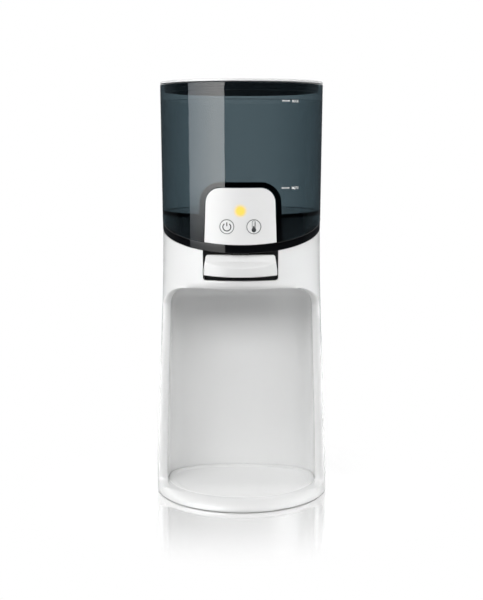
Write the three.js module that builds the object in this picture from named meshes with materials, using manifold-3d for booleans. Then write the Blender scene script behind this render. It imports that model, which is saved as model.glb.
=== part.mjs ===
// Instant water warmer: a lift-off smoke tank on a flared white housing with a deep bottle niche.
// Millimetres, +Z up. The origin is the middle of the foot circle on the floor, the front faces -Y.

import * as THREE from 'three';
import { mergeVertices } from 'three/addons/utils/BufferGeometryUtils.js';
import Module from 'manifold-3d';

const wasm = await Module();
wasm.setup();

// Driving dimensions: the radii and heights that the rest is set from
const neckRadius = 69.7;
const footFlare = 7.3;
const footHeight = 1.5;
const nicheFloorHeight = 9;
const nicheHeight = 181.5;
const headHeight = 49.3;
const tankFloorRise = 13.3;
const tankDepth = 109.6;

// Walls and clearances
const housingWall = 2.4;
const tankWall = 2.4;
const tankFloorThickness = 2.4;
const seatGap = 0.3;
const cutOver = 2;

const baseRadius = neckRadius + footFlare;
const nicheCeilingHeight = nicheFloorHeight + nicheHeight;
const seamAxisHeight = nicheCeilingHeight + headHeight;
const tankFloorHeight = seamAxisHeight + tankFloorRise;
const tankRimHeight = tankFloorHeight + tankDepth;
const neckDrop = 4.8;
const flareHeight = seamAxisHeight - neckDrop;

// Slanted seam between housing, deck band and tank
const seamFallShare = 0.26;
const bandHeight = 7.1;
const seamKneeRun = 8;

// Tank
const tankProudness = 0.4;
const tankSpread = 1.1;
const tankFootRadius = neckRadius + tankProudness;
const tankRimRadius = tankFootRadius + tankSpread;
const tankFloorCorner = 5;
const tankLedgeDrop = 14.3;
const tankLedgeHeight = tankRimHeight - tankLedgeDrop;
const tankLedgeDepth = 0.6;

// Niche
const columnWidth = 8.1;
const nicheBackRoom = 30.2;
const nicheNeckHalfWidth = neckRadius - columnWidth;
const nicheSplay = 5.2;
const nicheBackDepth = neckRadius - nicheBackRoom;
const nicheTopCorner = 20;
const nicheFootCorner = 5;
const nicheBlendRun = 12;
const noseShare = 0.4;
const lipRadius = 6.3;

// Control panel
const panelFootHalfWidth = 30.6;
const panelShoulderHalfWidth = 29;
const panelRise = 23;
const panelTopHeight = tankFloorHeight + panelRise;
const panelCornerRadius = 12.5;
const panelThickness = 2;
const panelProudness = 0.1;
const pocketClearance = 0.5;
const pocketWall = 4.2;
const towerDepth = 17.2;
const towerBackDepth = neckRadius - towerDepth;
const towerWall = 2;

// Dispense lever and its opening
const leverOpeningHalfWidth = 31.6;
const leverOpeningRise = 8.2;
const leverOpeningFoot = nicheCeilingHeight + leverOpeningRise;
const leverOpeningCorner = 2.5;
const leverProudness = 6.5;
const leverReach = neckRadius + leverProudness;

// Where the water runs down
const spoutDepth = -8;
const outletDepth = 25;

// Counts of facets and the exponents of the two squared ovals
const bodyArcSteps = 36;
const noseSteps = 3;
const nicheSteps = 18;
const fineSteps = 64;
const roundSteps = 40;
const smallRoundSteps = 20;
const tinyRoundSteps = 12;
const curveSteps = 4;
const nicheBackPower = 2.6;
const chamberPower = 3;
const trayFrontPower = 2;

// Heights and radii that several pieces share
const tankUnderside = tankFloorHeight - tankFloorThickness;
const seamBackHeight = tankUnderside - seatGap - bandHeight;
const chamberFloor = nicheCeilingHeight + housingWall;
const cutReach = baseRadius + cutOver;
const cutTop = tankRimHeight + cutOver;

// Solid operations

function withoutSlivers(index) {
  const kept = [];
  for (let i = 0; i < index.length; i += 3) {
    const [a, b, c] = [index[i], index[i + 1], index[i + 2]];
    if (a !== b && b !== c && a !== c) kept.push(a, b, c);
  }
  return kept;
}

function signedVolume(position, index) {
  const [a, b, c] = [new THREE.Vector3(), new THREE.Vector3(), new THREE.Vector3()];
  let sum = 0;
  for (let i = 0; i < index.length; i += 3) {
    a.fromBufferAttribute(position, index[i]);
    b.fromBufferAttribute(position, index[i + 1]);
    c.fromBufferAttribute(position, index[i + 2]);
    sum += a.dot(b.cross(c));
  }
  return sum;
}

function solidOf(geometry) {
  const bare = geometry.clone();
  bare.deleteAttribute('normal');
  bare.deleteAttribute('uv');
  const merged = mergeVertices(bare);
  const triangles = withoutSlivers(Array.from(merged.index.array));
  if (signedVolume(merged.attributes.position, triangles) < 0) triangles.reverse();
  return new wasm.Manifold(new wasm.Mesh({
    numProp: 3,
    vertProperties: new Float32Array(merged.attributes.position.array),
    triVerts: new Uint32Array(triangles),
  }));
}

function joined(...solids) {
  return solids.reduce((sum, solid) => sum.add(solid));
}

function without(solid, ...tools) {
  return tools.reduce((left, tool) => left.subtract(tool), solid);
}

function geometryOf(solid) {
  const mesh = solid.getMesh();
  const geometry = new THREE.BufferGeometry();
  geometry.setAttribute('position', new THREE.BufferAttribute(new Float32Array(mesh.vertProperties), 3));
  geometry.setIndex(new THREE.BufferAttribute(new Uint32Array(mesh.triVerts), 1));
  geometry.computeVertexNormals();
  return geometry;
}

// Basic forms

function revolved(profile, steps = roundSteps) {
  const points = profile.map(([radius, height]) => new THREE.Vector2(radius, height));
  return solidOf(new THREE.LatheGeometry(points, steps).rotateX(Math.PI / 2));
}

function disc(radius, low, high, steps = roundSteps) {
  return revolved([[0, low], [radius, low], [radius, high], [0, high]], steps);
}

function ring(inner, outer, low, high, steps = roundSteps) {
  return revolved([[inner, low], [outer, low], [outer, high], [inner, high], [inner, low]], steps);
}

function rodX(radius, from, to, y, z, steps = tinyRoundSteps) {
  const rod = new THREE.CylinderGeometry(radius, radius, to - from, steps).rotateZ(Math.PI / 2);
  return solidOf(rod.translate((from + to) / 2, y, z));
}

function rodY(radius, x, from, to, z, steps = tinyRoundSteps) {
  const rod = new THREE.CylinderGeometry(radius, radius, to - from, steps);
  return solidOf(rod.translate(x, (from + to) / 2, z));
}

function rodZ(radius, x, y, from, to, steps = tinyRoundSteps) {
  const rod = new THREE.CylinderGeometry(radius, radius, to - from, steps).rotateX(Math.PI / 2);
  return solidOf(rod.translate(x, y, (from + to) / 2));
}

function block(xRange, yRange, zRange) {
  const [width, depth, height] = [xRange, yRange, zRange].map(([low, high]) => high - low);
  const [x, y, z] = [xRange, yRange, zRange].map(([low, high]) => (low + high) / 2);
  return solidOf(new THREE.BoxGeometry(width, depth, height).translate(x, y, z));
}

function extruded(shape, length, segments) {
  return new THREE.ExtrudeGeometry(shape, { depth: length, bevelEnabled: false, curveSegments: segments });
}

// A shape drawn in (y, z), swept along X over a width centred on the axis.
function sweptAcross(shape, width, segments = curveSteps) {
  const turn = new THREE.Matrix4().makeBasis(
    new THREE.Vector3(0, 1, 0),
    new THREE.Vector3(0, 0, 1),
    new THREE.Vector3(1, 0, 0),
  );
  return solidOf(extruded(shape, width, segments).translate(0, 0, -width / 2).applyMatrix4(turn));
}

// A shape drawn in (x, z), swept along Y between two depths.
function sweptInDepth(shape, from, to, segments = curveSteps) {
  const turn = new THREE.Matrix4().makeBasis(
    new THREE.Vector3(1, 0, 0),
    new THREE.Vector3(0, 0, 1),
    new THREE.Vector3(0, -1, 0),
  );
  return solidOf(extruded(shape, to - from, segments).applyMatrix4(turn).translate(0, to, 0));
}

// A shape drawn in (x, y), raised between two heights.
function raised(shape, low, high, segments = curveSteps) {
  return solidOf(extruded(shape, high - low, segments).translate(0, 0, low));
}

function roundedRectangle(halfWidth, low, high, corner) {
  const shape = new THREE.Shape();
  shape.moveTo(-halfWidth + corner, low);
  shape.lineTo(halfWidth - corner, low);
  shape.absarc(halfWidth - corner, low + corner, corner, -Math.PI / 2, 0, false);
  shape.lineTo(halfWidth, high - corner);
  shape.absarc(halfWidth - corner, high - corner, corner, 0, Math.PI / 2, false);
  shape.lineTo(-halfWidth + corner, high);
  shape.absarc(-halfWidth + corner, high - corner, corner, Math.PI / 2, Math.PI, false);
  shape.lineTo(-halfWidth, low + corner);
  shape.absarc(-halfWidth + corner, low + corner, corner, Math.PI, 1.5 * Math.PI, false);
  return shape;
}

// A flat cap over one ring of points, facing up or down.
function capTriangles(ringPoints, first, facingUp) {
  const outline = ringPoints.map((point) => new THREE.Vector2(point.x, point.y));
  const triangles = [];
  for (const [a, b, c] of THREE.ShapeUtils.triangulateShape(outline, [])) {
    const area = THREE.ShapeUtils.area([outline[a], outline[b], outline[c]]);
    const upward = area > 0 ? [a, b, c] : [a, c, b];
    if (!facingUp) upward.reverse();
    triangles.push(...upward.map((corner) => corner + first));
  }
  return triangles;
}

// A closed solid through rings of equal count, lowest first, each counter-clockwise from above.
function lofted(rings) {
  const count = rings[0].length;
  const index = capTriangles(rings[0], 0, false);
  for (let level = 0; level < rings.length - 1; level += 1) {
    for (let i = 0; i < count; i += 1) {
      const a = level * count + i;
      const b = level * count + (i + 1) % count;
      index.push(a, b, b + count, a, b + count, a + count);
    }
  }
  index.push(...capTriangles(rings[rings.length - 1], (rings.length - 1) * count, true));
  const geometry = new THREE.BufferGeometry().setFromPoints(rings.flat());
  geometry.setIndex(index);
  return solidOf(geometry);
}

// Seam surface: it falls to the front at one slope and levels off behind through a soft knee.

function seamHeight(y) {
  return Math.min(seamAxisHeight + seamFallShare * y, seamBackHeight);
}

function aboveSeam(lift) {
  const kneeDepth = (seamBackHeight - seamAxisHeight) / seamFallShare;
  const shape = new THREE.Shape();
  shape.moveTo(-cutReach, seamHeight(-cutReach) + lift);
  shape.lineTo(kneeDepth - seamKneeRun, seamHeight(kneeDepth - seamKneeRun) + lift);
  shape.quadraticCurveTo(kneeDepth, seamBackHeight + lift, kneeDepth + seamKneeRun, seamBackHeight + lift);
  shape.lineTo(cutReach, seamBackHeight + lift);
  shape.lineTo(cutReach, cutTop);
  shape.lineTo(-cutReach, cutTop);
  return sweptAcross(shape, 2 * cutReach);
}

// Housing outline

// Share of the whole flare at a height, from 1 at the foot to 0 at the neck
function flareShare(height) {
  const share = Math.min(Math.max(height / flareHeight, 0), 1);
  return (1 + Math.cos(Math.PI * share)) / 2;
}

function bodyRadius(height) {
  return neckRadius + (baseRadius - neckRadius) * flareShare(height);
}

// The niche's half width follows the flare.
function nicheSide(height) {
  return nicheNeckHalfWidth + nicheSplay * flareShare(height);
}

function noseRadius(height) {
  return (bodyRadius(height) - nicheSide(height)) * noseShare;
}

function onCircle(radius, angle, height) {
  return new THREE.Vector3(radius * Math.sin(angle), -radius * Math.cos(angle), height);
}

function noseAngle(height, mouth) {
  return Math.asin((mouth + noseRadius(height)) / (bodyRadius(height) - noseRadius(height)));
}

// Points of the outer wall from the right nose round the back to the left nose.
function outerArc(radius, angle, height, steps = bodyArcSteps) {
  const points = [];
  for (let i = 0; i <= steps; i += 1) {
    points.push(onCircle(radius, angle + (2 * Math.PI - 2 * angle) * i / steps, height));
  }
  return points;
}

// A point of a squared oval, at an angle from +X
function ovalPoint(halfWidth, depth, height, angle, power) {
  const [across, along] = [Math.cos(angle), Math.sin(angle)];
  return new THREE.Vector3(
    halfWidth * Math.sign(across) * Math.abs(across) ** (2 / power),
    depth * Math.sign(along) * Math.abs(along) ** (2 / power),
    height,
  );
}

// Points of a squared half oval from one end angle to the other, behind the axis.
function backOval(halfWidth, depth, height, from, to, power) {
  const points = [];
  for (let i = 0; i <= nicheSteps; i += 1) {
    points.push(ovalPoint(halfWidth, depth, height, from + (to - from) * i / nicheSteps, power));
  }
  return points;
}

// A level of the housing that the niche cuts: a C with rounded noses at its two front edges.
function openLevel(height, mouth, side, back) {
  const [radius, nose] = [bodyRadius(height), noseRadius(height)];
  const angle = noseAngle(height, mouth);
  const noseAcross = mouth + nose;
  const noseAlong = Math.sqrt((radius - nose) ** 2 - noseAcross ** 2);
  const points = outerArc(radius, angle, height);
  const nosePoint = (direction, hand) => new THREE.Vector3(
    hand * noseAcross + nose * Math.sin(direction),
    -noseAlong - nose * Math.cos(direction),
    height,
  );
  for (let i = 1; i <= noseSteps; i += 1) {
    points.push(nosePoint(-angle + (angle + Math.PI / 2) * i / noseSteps, -1));
  }
  points.push(new THREE.Vector3(-side, nicheBlendRun - noseAlong, height));
  points.push(...backOval(side, back, height, Math.PI, 0, nicheBackPower));
  points.push(new THREE.Vector3(side, nicheBlendRun - noseAlong, height));
  for (let i = 0; i < noseSteps; i += 1) {
    points.push(nosePoint(-Math.PI / 2 + (angle + Math.PI / 2) * i / noseSteps, 1));
  }
  return points;
}

// A level above or below the niche: a circle whose front is drawn in between the noses, by an angle's depth.
function closedLevel(height, mouth, drawn) {
  const radius = bodyRadius(height);
  const angle = noseAngle(height, mouth);
  const points = outerArc(radius, angle, height);
  const frontCount = 2 * noseSteps + nicheSteps + 3;
  for (let i = 1; i <= frontCount; i += 1) {
    const share = -1 + 2 * i / (frontCount + 1);
    points.push(onCircle(radius - drawn(angle * share) * (1 - share ** 6), angle * share, height));
  }
  return points;
}

const rimShares = [0, 0.35, 0.6, 0.8, 0.92, 1];
const nicheLevelShares = [0.3, 0.65];

function quarterInset(radius, height) {
  return radius - Math.sqrt(Math.max(radius ** 2 - height ** 2, 0));
}

// Tray outline: it fills the niche's floor and runs out to the front rim.
const trayHalfWidth = nicheSide(nicheFloorHeight);
const traySetback = 15.2;
const trayFrontDepth = baseRadius - traySetback;

// How far the rim runs in from the housing's front to the tray, at an angle from the front
function rimRun(angle) {
  const reach = 1 / Math.hypot(Math.sin(angle) / trayHalfWidth, Math.cos(angle) / trayFrontDepth);
  return bodyRadius(nicheFloorHeight) - reach;
}

function bodySolid() {
  const footMouth = nicheSide(nicheFloorHeight) - nicheFootCorner;
  const topMouth = nicheSide(nicheCeilingHeight) - nicheTopCorner;
  const rings = rimShares.map((share) => closedLevel(
    footHeight + share * (nicheFloorHeight - footHeight),
    footMouth,
    (angle) => rimRun(angle) * (1 - Math.sqrt(1 - share ** 2)),
  ));
  const straight = (height, inset) => {
    rings.push(openLevel(height, nicheSide(height) - inset, nicheSide(height), nicheBackDepth));
  };
  for (const share of [0, 0.25, 0.55, 1]) {
    straight(
      nicheFloorHeight + share * nicheFootCorner,
      quarterInset(nicheFootCorner, (1 - share) * nicheFootCorner),
    );
  }
  const cornerFoot = nicheCeilingHeight - nicheTopCorner;
  const sideFoot = nicheFloorHeight + nicheFootCorner;
  for (const share of nicheLevelShares) straight(sideFoot + share * (cornerFoot - sideFoot), 0);
  const cornerSteps = 5;
  for (let i = 0; i <= cornerSteps; i += 1) {
    const turn = i / cornerSteps * Math.PI / 2;
    const inset = nicheTopCorner * (1 - Math.cos(turn));
    const height = cornerFoot + nicheTopCorner * Math.sin(turn);
    const [side, back] = [nicheSide(height) - inset, nicheBackDepth - inset];
    rings.push(openLevel(height, side, side, back));
  }
  const lipSteps = 3;
  for (let i = 0; i <= lipSteps; i += 1) {
    const turn = i / lipSteps * Math.PI / 2;
    rings.push(closedLevel(
      nicheCeilingHeight + lipRadius * (1 - Math.cos(turn)),
      topMouth,
      () => lipRadius * (1 - Math.sin(turn)),
    ));
  }
  rings.push(closedLevel(leverOpeningFoot + bandHeight, topMouth, () => 0));
  rings.push(closedLevel(tankUnderside, topMouth, () => 0));
  return lofted(rings);
}

// Hollow above the niche
function upperChamber() {
  return revolved([
    [0, chamberFloor],
    [bodyRadius(chamberFloor) - housingWall, chamberFloor],
    [bodyRadius(tankUnderside) - housingWall, tankUnderside + cutOver],
    [0, tankUnderside + cutOver],
  ]);
}

const plateThickness = 2.4;
const plateTop = footHeight + plateThickness;
const plateRecessTop = plateTop + seatGap;
const panThickness = 1.6;
const panTop = plateRecessTop + panThickness;
const chamberFront = 9;

// Hollow behind the niche, from the base plate up into the upper chamber
function backChamber() {
  const back = nicheBackDepth + housingWall;
  const ovalAngle = Math.asin((chamberFront / back) ** (chamberPower / 2));
  const levels = [plateRecessTop - cutOver, flareHeight / 4, flareHeight / 2, chamberFloor + cutOver];
  return lofted(levels.map((height) => {
    const [radius, side] = [bodyRadius(height) - housingWall, nicheSide(height) + housingWall];
    const arc = outerArc(radius, Math.PI / 2 + Math.asin(chamberFront / radius), height, bodyArcSteps / 2);
    return [...arc, ...backOval(side, back, height, Math.PI - ovalAngle, ovalAngle, chamberPower)];
  }));
}

function plateRecess() {
  return disc(bodyRadius(0) - housingWall, -cutOver, plateRecessTop);
}

// Drip tray: the niche's squared oval behind, a rounder one in front.

const trayClearance = 0.5;
const traySteps = 40;

function trayRing(inset, height) {
  const points = [];
  for (let i = 0; i < traySteps; i += 1) {
    const angle = 2 * Math.PI * i / traySteps;
    const behind = angle < Math.PI;
    const depth = (behind ? nicheBackDepth : trayFrontDepth) - inset;
    const power = behind ? nicheBackPower : trayFrontPower;
    points.push(ovalPoint(trayHalfWidth - inset, depth, height, angle, power));
  }
  return points;
}

function dripTray() {
  const edgeRadius = 0.8;
  const rimWidth = 4;
  const slopeWidth = 3;
  const dishDepth = 1.1;
  const foot = panTop + seatGap;
  return lofted([
    trayRing(trayClearance + edgeRadius, foot),
    trayRing(trayClearance, foot + edgeRadius),
    trayRing(trayClearance, nicheFloorHeight - edgeRadius),
    trayRing(trayClearance + edgeRadius, nicheFloorHeight),
    trayRing(trayClearance + rimWidth, nicheFloorHeight),
    trayRing(trayClearance + rimWidth + slopeWidth, nicheFloorHeight - dishDepth),
  ]);
}

function trayRecess() {
  return lofted([trayRing(0, panTop), trayRing(0, nicheFloorHeight + seatGap)]);
}

// Base screws: two hold the front housing, two the rear cover.

const bossRadius = 3.6;
const bossHeight = 14;
const screwShankRadius = 1.1;
const screwHeadRadius = 2.6;
const screwHeadThickness = 1.1;
const screwHeadRecess = 1.4;
const frontBossX = 44.2;
const frontBossSetback = 37.25;
const frontBossY = baseRadius - frontBossSetback;
const rearBossX = 22;
const rearBossInset = 8.8;
const rearBossY = baseRadius - rearBossInset;
const bossPlaces = [
  [-frontBossX, frontBossY],
  [frontBossX, frontBossY],
  [-rearBossX, rearBossY],
  [rearBossX, rearBossY],
];

function boss([x, y]) {
  return rodZ(bossRadius, x, y, plateRecessTop, plateRecessTop + bossHeight);
}

function bossHole([x, y]) {
  const top = plateRecessTop + bossHeight - cutOver;
  return rodZ(screwShankRadius + seatGap, x, y, plateRecessTop - cutOver, top);
}

function baseScrew([x, y]) {
  const head = footHeight + screwHeadRecess - screwHeadThickness - seatGap;
  return joined(
    rodZ(screwHeadRadius, x, y, head, head + screwHeadThickness),
    rodZ(screwShankRadius, x, y, head, plateRecessTop + bossHeight - cutOver - seatGap),
  );
}

// Feet and base plate

const footRadius = 8;
const footRecess = 1;
const footInset = 17;
const footCircle = baseRadius - footInset;
const frontFootAngle = Math.PI / 4;
const rearFootAngle = 5 * Math.PI / 6;
const footAngles = [frontFootAngle, rearFootAngle, -rearFootAngle, -frontFootAngle];

function foot(angle) {
  const edge = 0.5;
  const top = footHeight + footRecess - seatGap;
  const place = onCircle(footCircle, angle, 0);
  return revolved([
    [0, 0],
    [footRadius - edge, 0],
    [footRadius, edge],
    [footRadius, top],
    [0, top],
  ], smallRoundSteps).translate(place.x, place.y, 0);
}

function basePlate() {
  const radius = bodyRadius(0) - housingWall - seatGap;
  const ribHeight = 1;
  const tools = footAngles.map((angle) => {
    const place = onCircle(footCircle, angle, 0);
    return rodZ(footRadius + seatGap, place.x, place.y, 0, footHeight + footRecess, smallRoundSteps);
  });
  for (const [x, y] of bossPlaces) {
    tools.push(rodZ(screwHeadRadius + seatGap, x, y, 0, footHeight + screwHeadRecess));
    tools.push(rodZ(screwShankRadius + seatGap, x, y, 0, plateTop + cutOver));
  }
  tools.push(ring(footCircle / 2, footCircle / 2 + ribHeight, 0, footHeight + ribHeight));
  return without(disc(radius, footHeight, plateTop), ...tools);
}

// Mains inlet in the rear cover

const inletHalfWidth = 12;
const inletHalfHeight = 6.5;
const inletHeight = 21;
const inletCorner = 3;
const inletRecess = 1.8;
const inletLength = 15.2;
const inletBack = baseRadius - inletRecess;
const inletFront = inletBack - inletLength;

function inletOutline(halfWidth, halfHeight, corner) {
  return roundedRectangle(halfWidth, inletHeight - halfHeight, inletHeight + halfHeight, corner);
}

function powerInlet() {
  const socketHalfWidth = 8.6;
  const socketHalfHeight = 4.2;
  const socketDepth = 10;
  const pinRadius = 1.2;
  const pinSpacing = 8.6;
  const socketFloor = inletBack - socketDepth;
  const outline = inletOutline(inletHalfWidth, inletHalfHeight, inletCorner);
  const shell = sweptInDepth(outline, inletFront, inletBack);
  const socket = sweptInDepth(
    inletOutline(socketHalfWidth, socketHalfHeight, socketHalfHeight - seatGap),
    socketFloor,
    inletBack + cutOver,
  );
  const pins = [-1, 1].map((hand) => (
    rodY(pinRadius, hand * pinSpacing / 2, socketFloor - cutOver, inletBack - cutOver, inletHeight)
  ));
  return joined(without(shell, socket), ...pins);
}

// Power board behind the niche, on four posts

const boardPostRadius = 2.5;
const boardPostX = 18;
const boardPostLow = 52;
const boardPostSpacing = 60;
const boardPostHigh = boardPostLow + boardPostSpacing;
const powerBoardRoom = 12.5;
const powerBoardFront = nicheBackDepth + powerBoardRoom;
const powerBoardThickness = 1.6;
const powerBoardMargin = 6;

function boardPosts() {
  const root = nicheBackDepth + housingWall / 2;
  return [boardPostLow, boardPostHigh].flatMap((height) => [-1, 1].map((hand) => (
    rodY(boardPostRadius, hand * boardPostX, root, powerBoardFront - seatGap, height)
  )));
}

function powerBoard() {
  const [low, high] = [boardPostLow - powerBoardMargin, boardPostHigh + powerBoardMargin];
  const halfWidth = boardPostX + powerBoardMargin;
  const back = powerBoardFront + powerBoardThickness;
  const partDepth = 9;
  const coilHalfWidth = 11;
  const coilHeight = 22;
  const relayWidth = 9;
  const relayHeight = 15;
  return joined(
    block([-halfWidth, halfWidth], [powerBoardFront, back], [low, high]),
    block(
      [-coilHalfWidth, coilHalfWidth],
      [back - powerBoardThickness / 2, back + partDepth],
      [low + powerBoardMargin, low + powerBoardMargin + coilHeight],
    ),
    block(
      [-coilHalfWidth, relayWidth - coilHalfWidth],
      [back - powerBoardThickness / 2, back + partDepth],
      [high - powerBoardMargin - relayHeight, high - powerBoardMargin],
    ),
  );
}

// Housing halves

const coverSplitRoom = 8.5;
const coverSplitDepth = nicheBackDepth + coverSplitRoom;

function leverOpening(grow = 0) {
  return roundedRectangle(
    leverOpeningHalfWidth + grow,
    leverOpeningFoot - grow,
    tankUnderside,
    leverOpeningCorner + grow,
  );
}

const spigotRadius = 5.5;

function housingBlank() {
  return without(
    bodySolid(),
    upperChamber(),
    backChamber(),
    plateRecess(),
    aboveSeam(-seatGap / 2),
  );
}

function frontHousing(blank) {
  const front = block([-cutReach, cutReach], [-cutReach, coverSplitDepth - seatGap / 2], [0, tankUnderside]);
  const shell = without(
    blank.intersect(front),
    trayRecess(),
    sweptInDepth(leverOpening(), -cutReach, -leverOpeningHalfWidth),
    rodZ(spigotRadius + seatGap, 0, spoutDepth, nicheCeilingHeight - cutOver, chamberFloor + cutOver),
  );
  const bosses = bossPlaces.slice(0, 2);
  return without(joined(shell, ...bosses.map(boss), ...boardPosts()), ...bosses.map(bossHole));
}

function rearCover(blank) {
  const rear = block([-cutReach, cutReach], [coverSplitDepth + seatGap / 2, cutReach], [0, tankUnderside]);
  const bosses = bossPlaces.slice(2);
  const inletHole = sweptInDepth(
    inletOutline(inletHalfWidth + seatGap, inletHalfHeight + seatGap, inletCorner + seatGap),
    inletFront,
    cutReach,
  );
  return without(joined(blank.intersect(rear), ...bosses.map(boss)), inletHole, ...bosses.map(bossHole));
}

// Arch outline of the panel, grown by an offset, from a foot height up

function archShape(offset, foot) {
  const [footHalf, shoulderHalf] = [panelFootHalfWidth + offset, panelShoulderHalfWidth + offset];
  const top = panelTopHeight + offset;
  const corner = panelCornerRadius + offset;
  const shape = new THREE.Shape();
  shape.moveTo(footHalf, foot);
  shape.lineTo(shoulderHalf, top - corner);
  shape.absarc(shoulderHalf - corner, top - corner, corner, 0, Math.PI / 2, false);
  shape.lineTo(corner - shoulderHalf, top);
  shape.absarc(corner - shoulderHalf, top - corner, corner, Math.PI / 2, Math.PI, false);
  shape.lineTo(-footHalf, foot);
  return shape;
}

const panelFoot = seamAxisHeight - seamFallShare * baseRadius;

function archPrism(offset, from, to) {
  return sweptInDepth(archShape(offset, panelFoot), from, to, smallRoundSteps / 2);
}

// Water tank

function tankOuterRadius(height) {
  const share = (height - tankUnderside) / (tankRimHeight - tankUnderside);
  return tankFootRadius + (tankRimRadius - tankFootRadius) * share;
}

function tankOuterSolid() {
  return revolved([
    [0, panelFoot - cutOver],
    [tankOuterRadius(panelFoot - cutOver), panelFoot - cutOver],
    [tankRimRadius, tankRimHeight],
    [0, tankRimHeight],
  ], fineSteps);
}

function tankHollow() {
  const foot = tankOuterRadius(tankFloorHeight) - tankWall;
  const ledge = tankOuterRadius(tankLedgeHeight) - tankWall;
  const slope = tankFloorCorner / 3;
  return revolved([
    [0, tankFloorHeight],
    [foot - tankFloorCorner, tankFloorHeight],
    [foot - slope, tankFloorHeight + slope],
    [foot, tankFloorHeight + tankFloorCorner],
    [ledge, tankLedgeHeight],
    [ledge + tankLedgeDepth, tankLedgeHeight],
    [ledge + tankLedgeDepth, cutTop],
    [0, cutTop],
  ], fineSteps);
}

const tankSpigotRadius = 8;
const tankSpigotBore = 6;
const tankSpigotLength = 14.2;
const tankSpigotFoot = tankUnderside - tankSpigotLength;
const guideHubRadius = 3.2;
const guideDrop = 10.7;
const guideThickness = 2.5;
const guideFoot = tankUnderside - guideDrop;
const guideTop = guideFoot + guideThickness;
const poppetStemRadius = 1.5;
const guideRibHalfWidth = 0.8;

function tankGuide() {
  const ribs = [0, 1, 2].map((turn) => block(
    [0, (tankSpigotBore + tankSpigotRadius) / 2],
    [-guideRibHalfWidth, guideRibHalfWidth],
    [guideFoot, guideTop],
  ).rotate([0, 0, 120 * turn]));
  const hub = joined(rodZ(guideHubRadius, 0, 0, guideFoot, guideTop), ...ribs);
  return without(
    hub,
    rodZ(poppetStemRadius + seatGap, 0, 0, guideFoot - cutOver, guideTop + cutOver),
  ).translate(0, outletDepth, 0);
}

function waterTank() {
  const outer = tankOuterSolid();
  const skirtHollow = disc(tankFootRadius - tankWall, 0, tankUnderside, fineSteps);
  const pocketDepth = towerBackDepth - pocketClearance;
  const pocketShell = archPrism(pocketClearance + pocketWall, -cutReach, pocketWall / 2 - pocketDepth);
  const pocket = archPrism(pocketClearance, -cutReach, -pocketDepth);
  const tub = joined(without(outer, tankHollow(), skirtHollow), pocketShell.intersect(outer));
  const cut = without(tub, pocket).intersect(aboveSeam(bandHeight + seatGap));
  const spigot = rodZ(tankSpigotRadius, 0, outletDepth, tankSpigotFoot, tankFloorHeight, smallRoundSteps);
  const bore = rodZ(tankSpigotBore, 0, outletDepth, 0, tankFloorHeight + cutOver, smallRoundSteps);
  return joined(without(joined(cut, spigot), bore), tankGuide());
}

// Poppet of the tank outlet, held open by the socket's pin while the tank is seated

const poppetLift = 2.8;
const poppetRadius = 7.6;
const poppetThickness = 2;
const poppetFlangeRadius = 3.6;
const poppetFlangeThickness = 1.5;
const poppetFlangeDrop = 5.5;
const poppetFlangeFoot = guideFoot - poppetFlangeDrop;

function tankPoppet() {
  const seat = tankFloorHeight + poppetLift;
  const flangeTop = poppetFlangeFoot + poppetFlangeThickness;
  return joined(
    rodZ(poppetRadius, 0, outletDepth, seat, seat + poppetThickness, smallRoundSteps),
    rodZ(poppetStemRadius, 0, outletDepth, flangeTop - poppetFlangeThickness / 2, seat + poppetThickness / 2),
    rodZ(poppetFlangeRadius, 0, outletDepth, poppetFlangeFoot, flangeTop),
  );
}

// A compression spring: one helical tube with flat-lying ends

class Helix extends THREE.Curve {
  constructor(radius, low, high, turns) {
    super();
    this.radius = radius;
    this.low = low;
    this.high = high;
    this.turns = turns;
  }

  getPoint(share, target = new THREE.Vector3()) {
    const angle = 2 * Math.PI * this.turns * share;
    const height = this.low + (this.high - this.low) * share;
    return target.set(this.radius * Math.cos(angle), this.radius * Math.sin(angle), height);
  }
}

function springSolid(coilRadius, wireRadius, low, high, turns, x, y) {
  const wireSides = 5;
  const stepsPerTurn = 10;
  const section = new THREE.Shape();
  for (let i = 0; i < wireSides; i += 1) {
    const angle = 2 * Math.PI * i / wireSides;
    const [across, along] = [wireRadius * Math.cos(angle), wireRadius * Math.sin(angle)];
    if (i === 0) section.moveTo(across, along);
    else section.lineTo(across, along);
  }
  const path = new Helix(coilRadius, low + wireRadius, high - wireRadius, turns);
  const tube = new THREE.ExtrudeGeometry(section, { steps: turns * stepsPerTurn, extrudePath: path });
  return solidOf(tube.translate(x, y, 0));
}

const springWireRadius = 0.35;

function poppetSpring() {
  const turns = 3;
  const coilRadius = poppetStemRadius + 2 * seatGap + springWireRadius;
  return springSolid(
    coilRadius,
    springWireRadius,
    poppetFlangeFoot + poppetFlangeThickness + seatGap,
    guideFoot - seatGap,
    turns,
    0,
    outletDepth,
  );
}

// Deck: slanted black band, raised platform inside the tank's skirt and the notch for the tower

const deckProudness = 0.2;
const platformRoom = 2.1;
const deckRadius = neckRadius + deckProudness;
const platformRadius = tankFootRadius - tankWall - platformRoom;
const platformWall = 2.4;
const platformTop = tankUnderside - seatGap;
const socketHoleRadius = tankSpigotRadius + 2 * seatGap;

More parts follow.
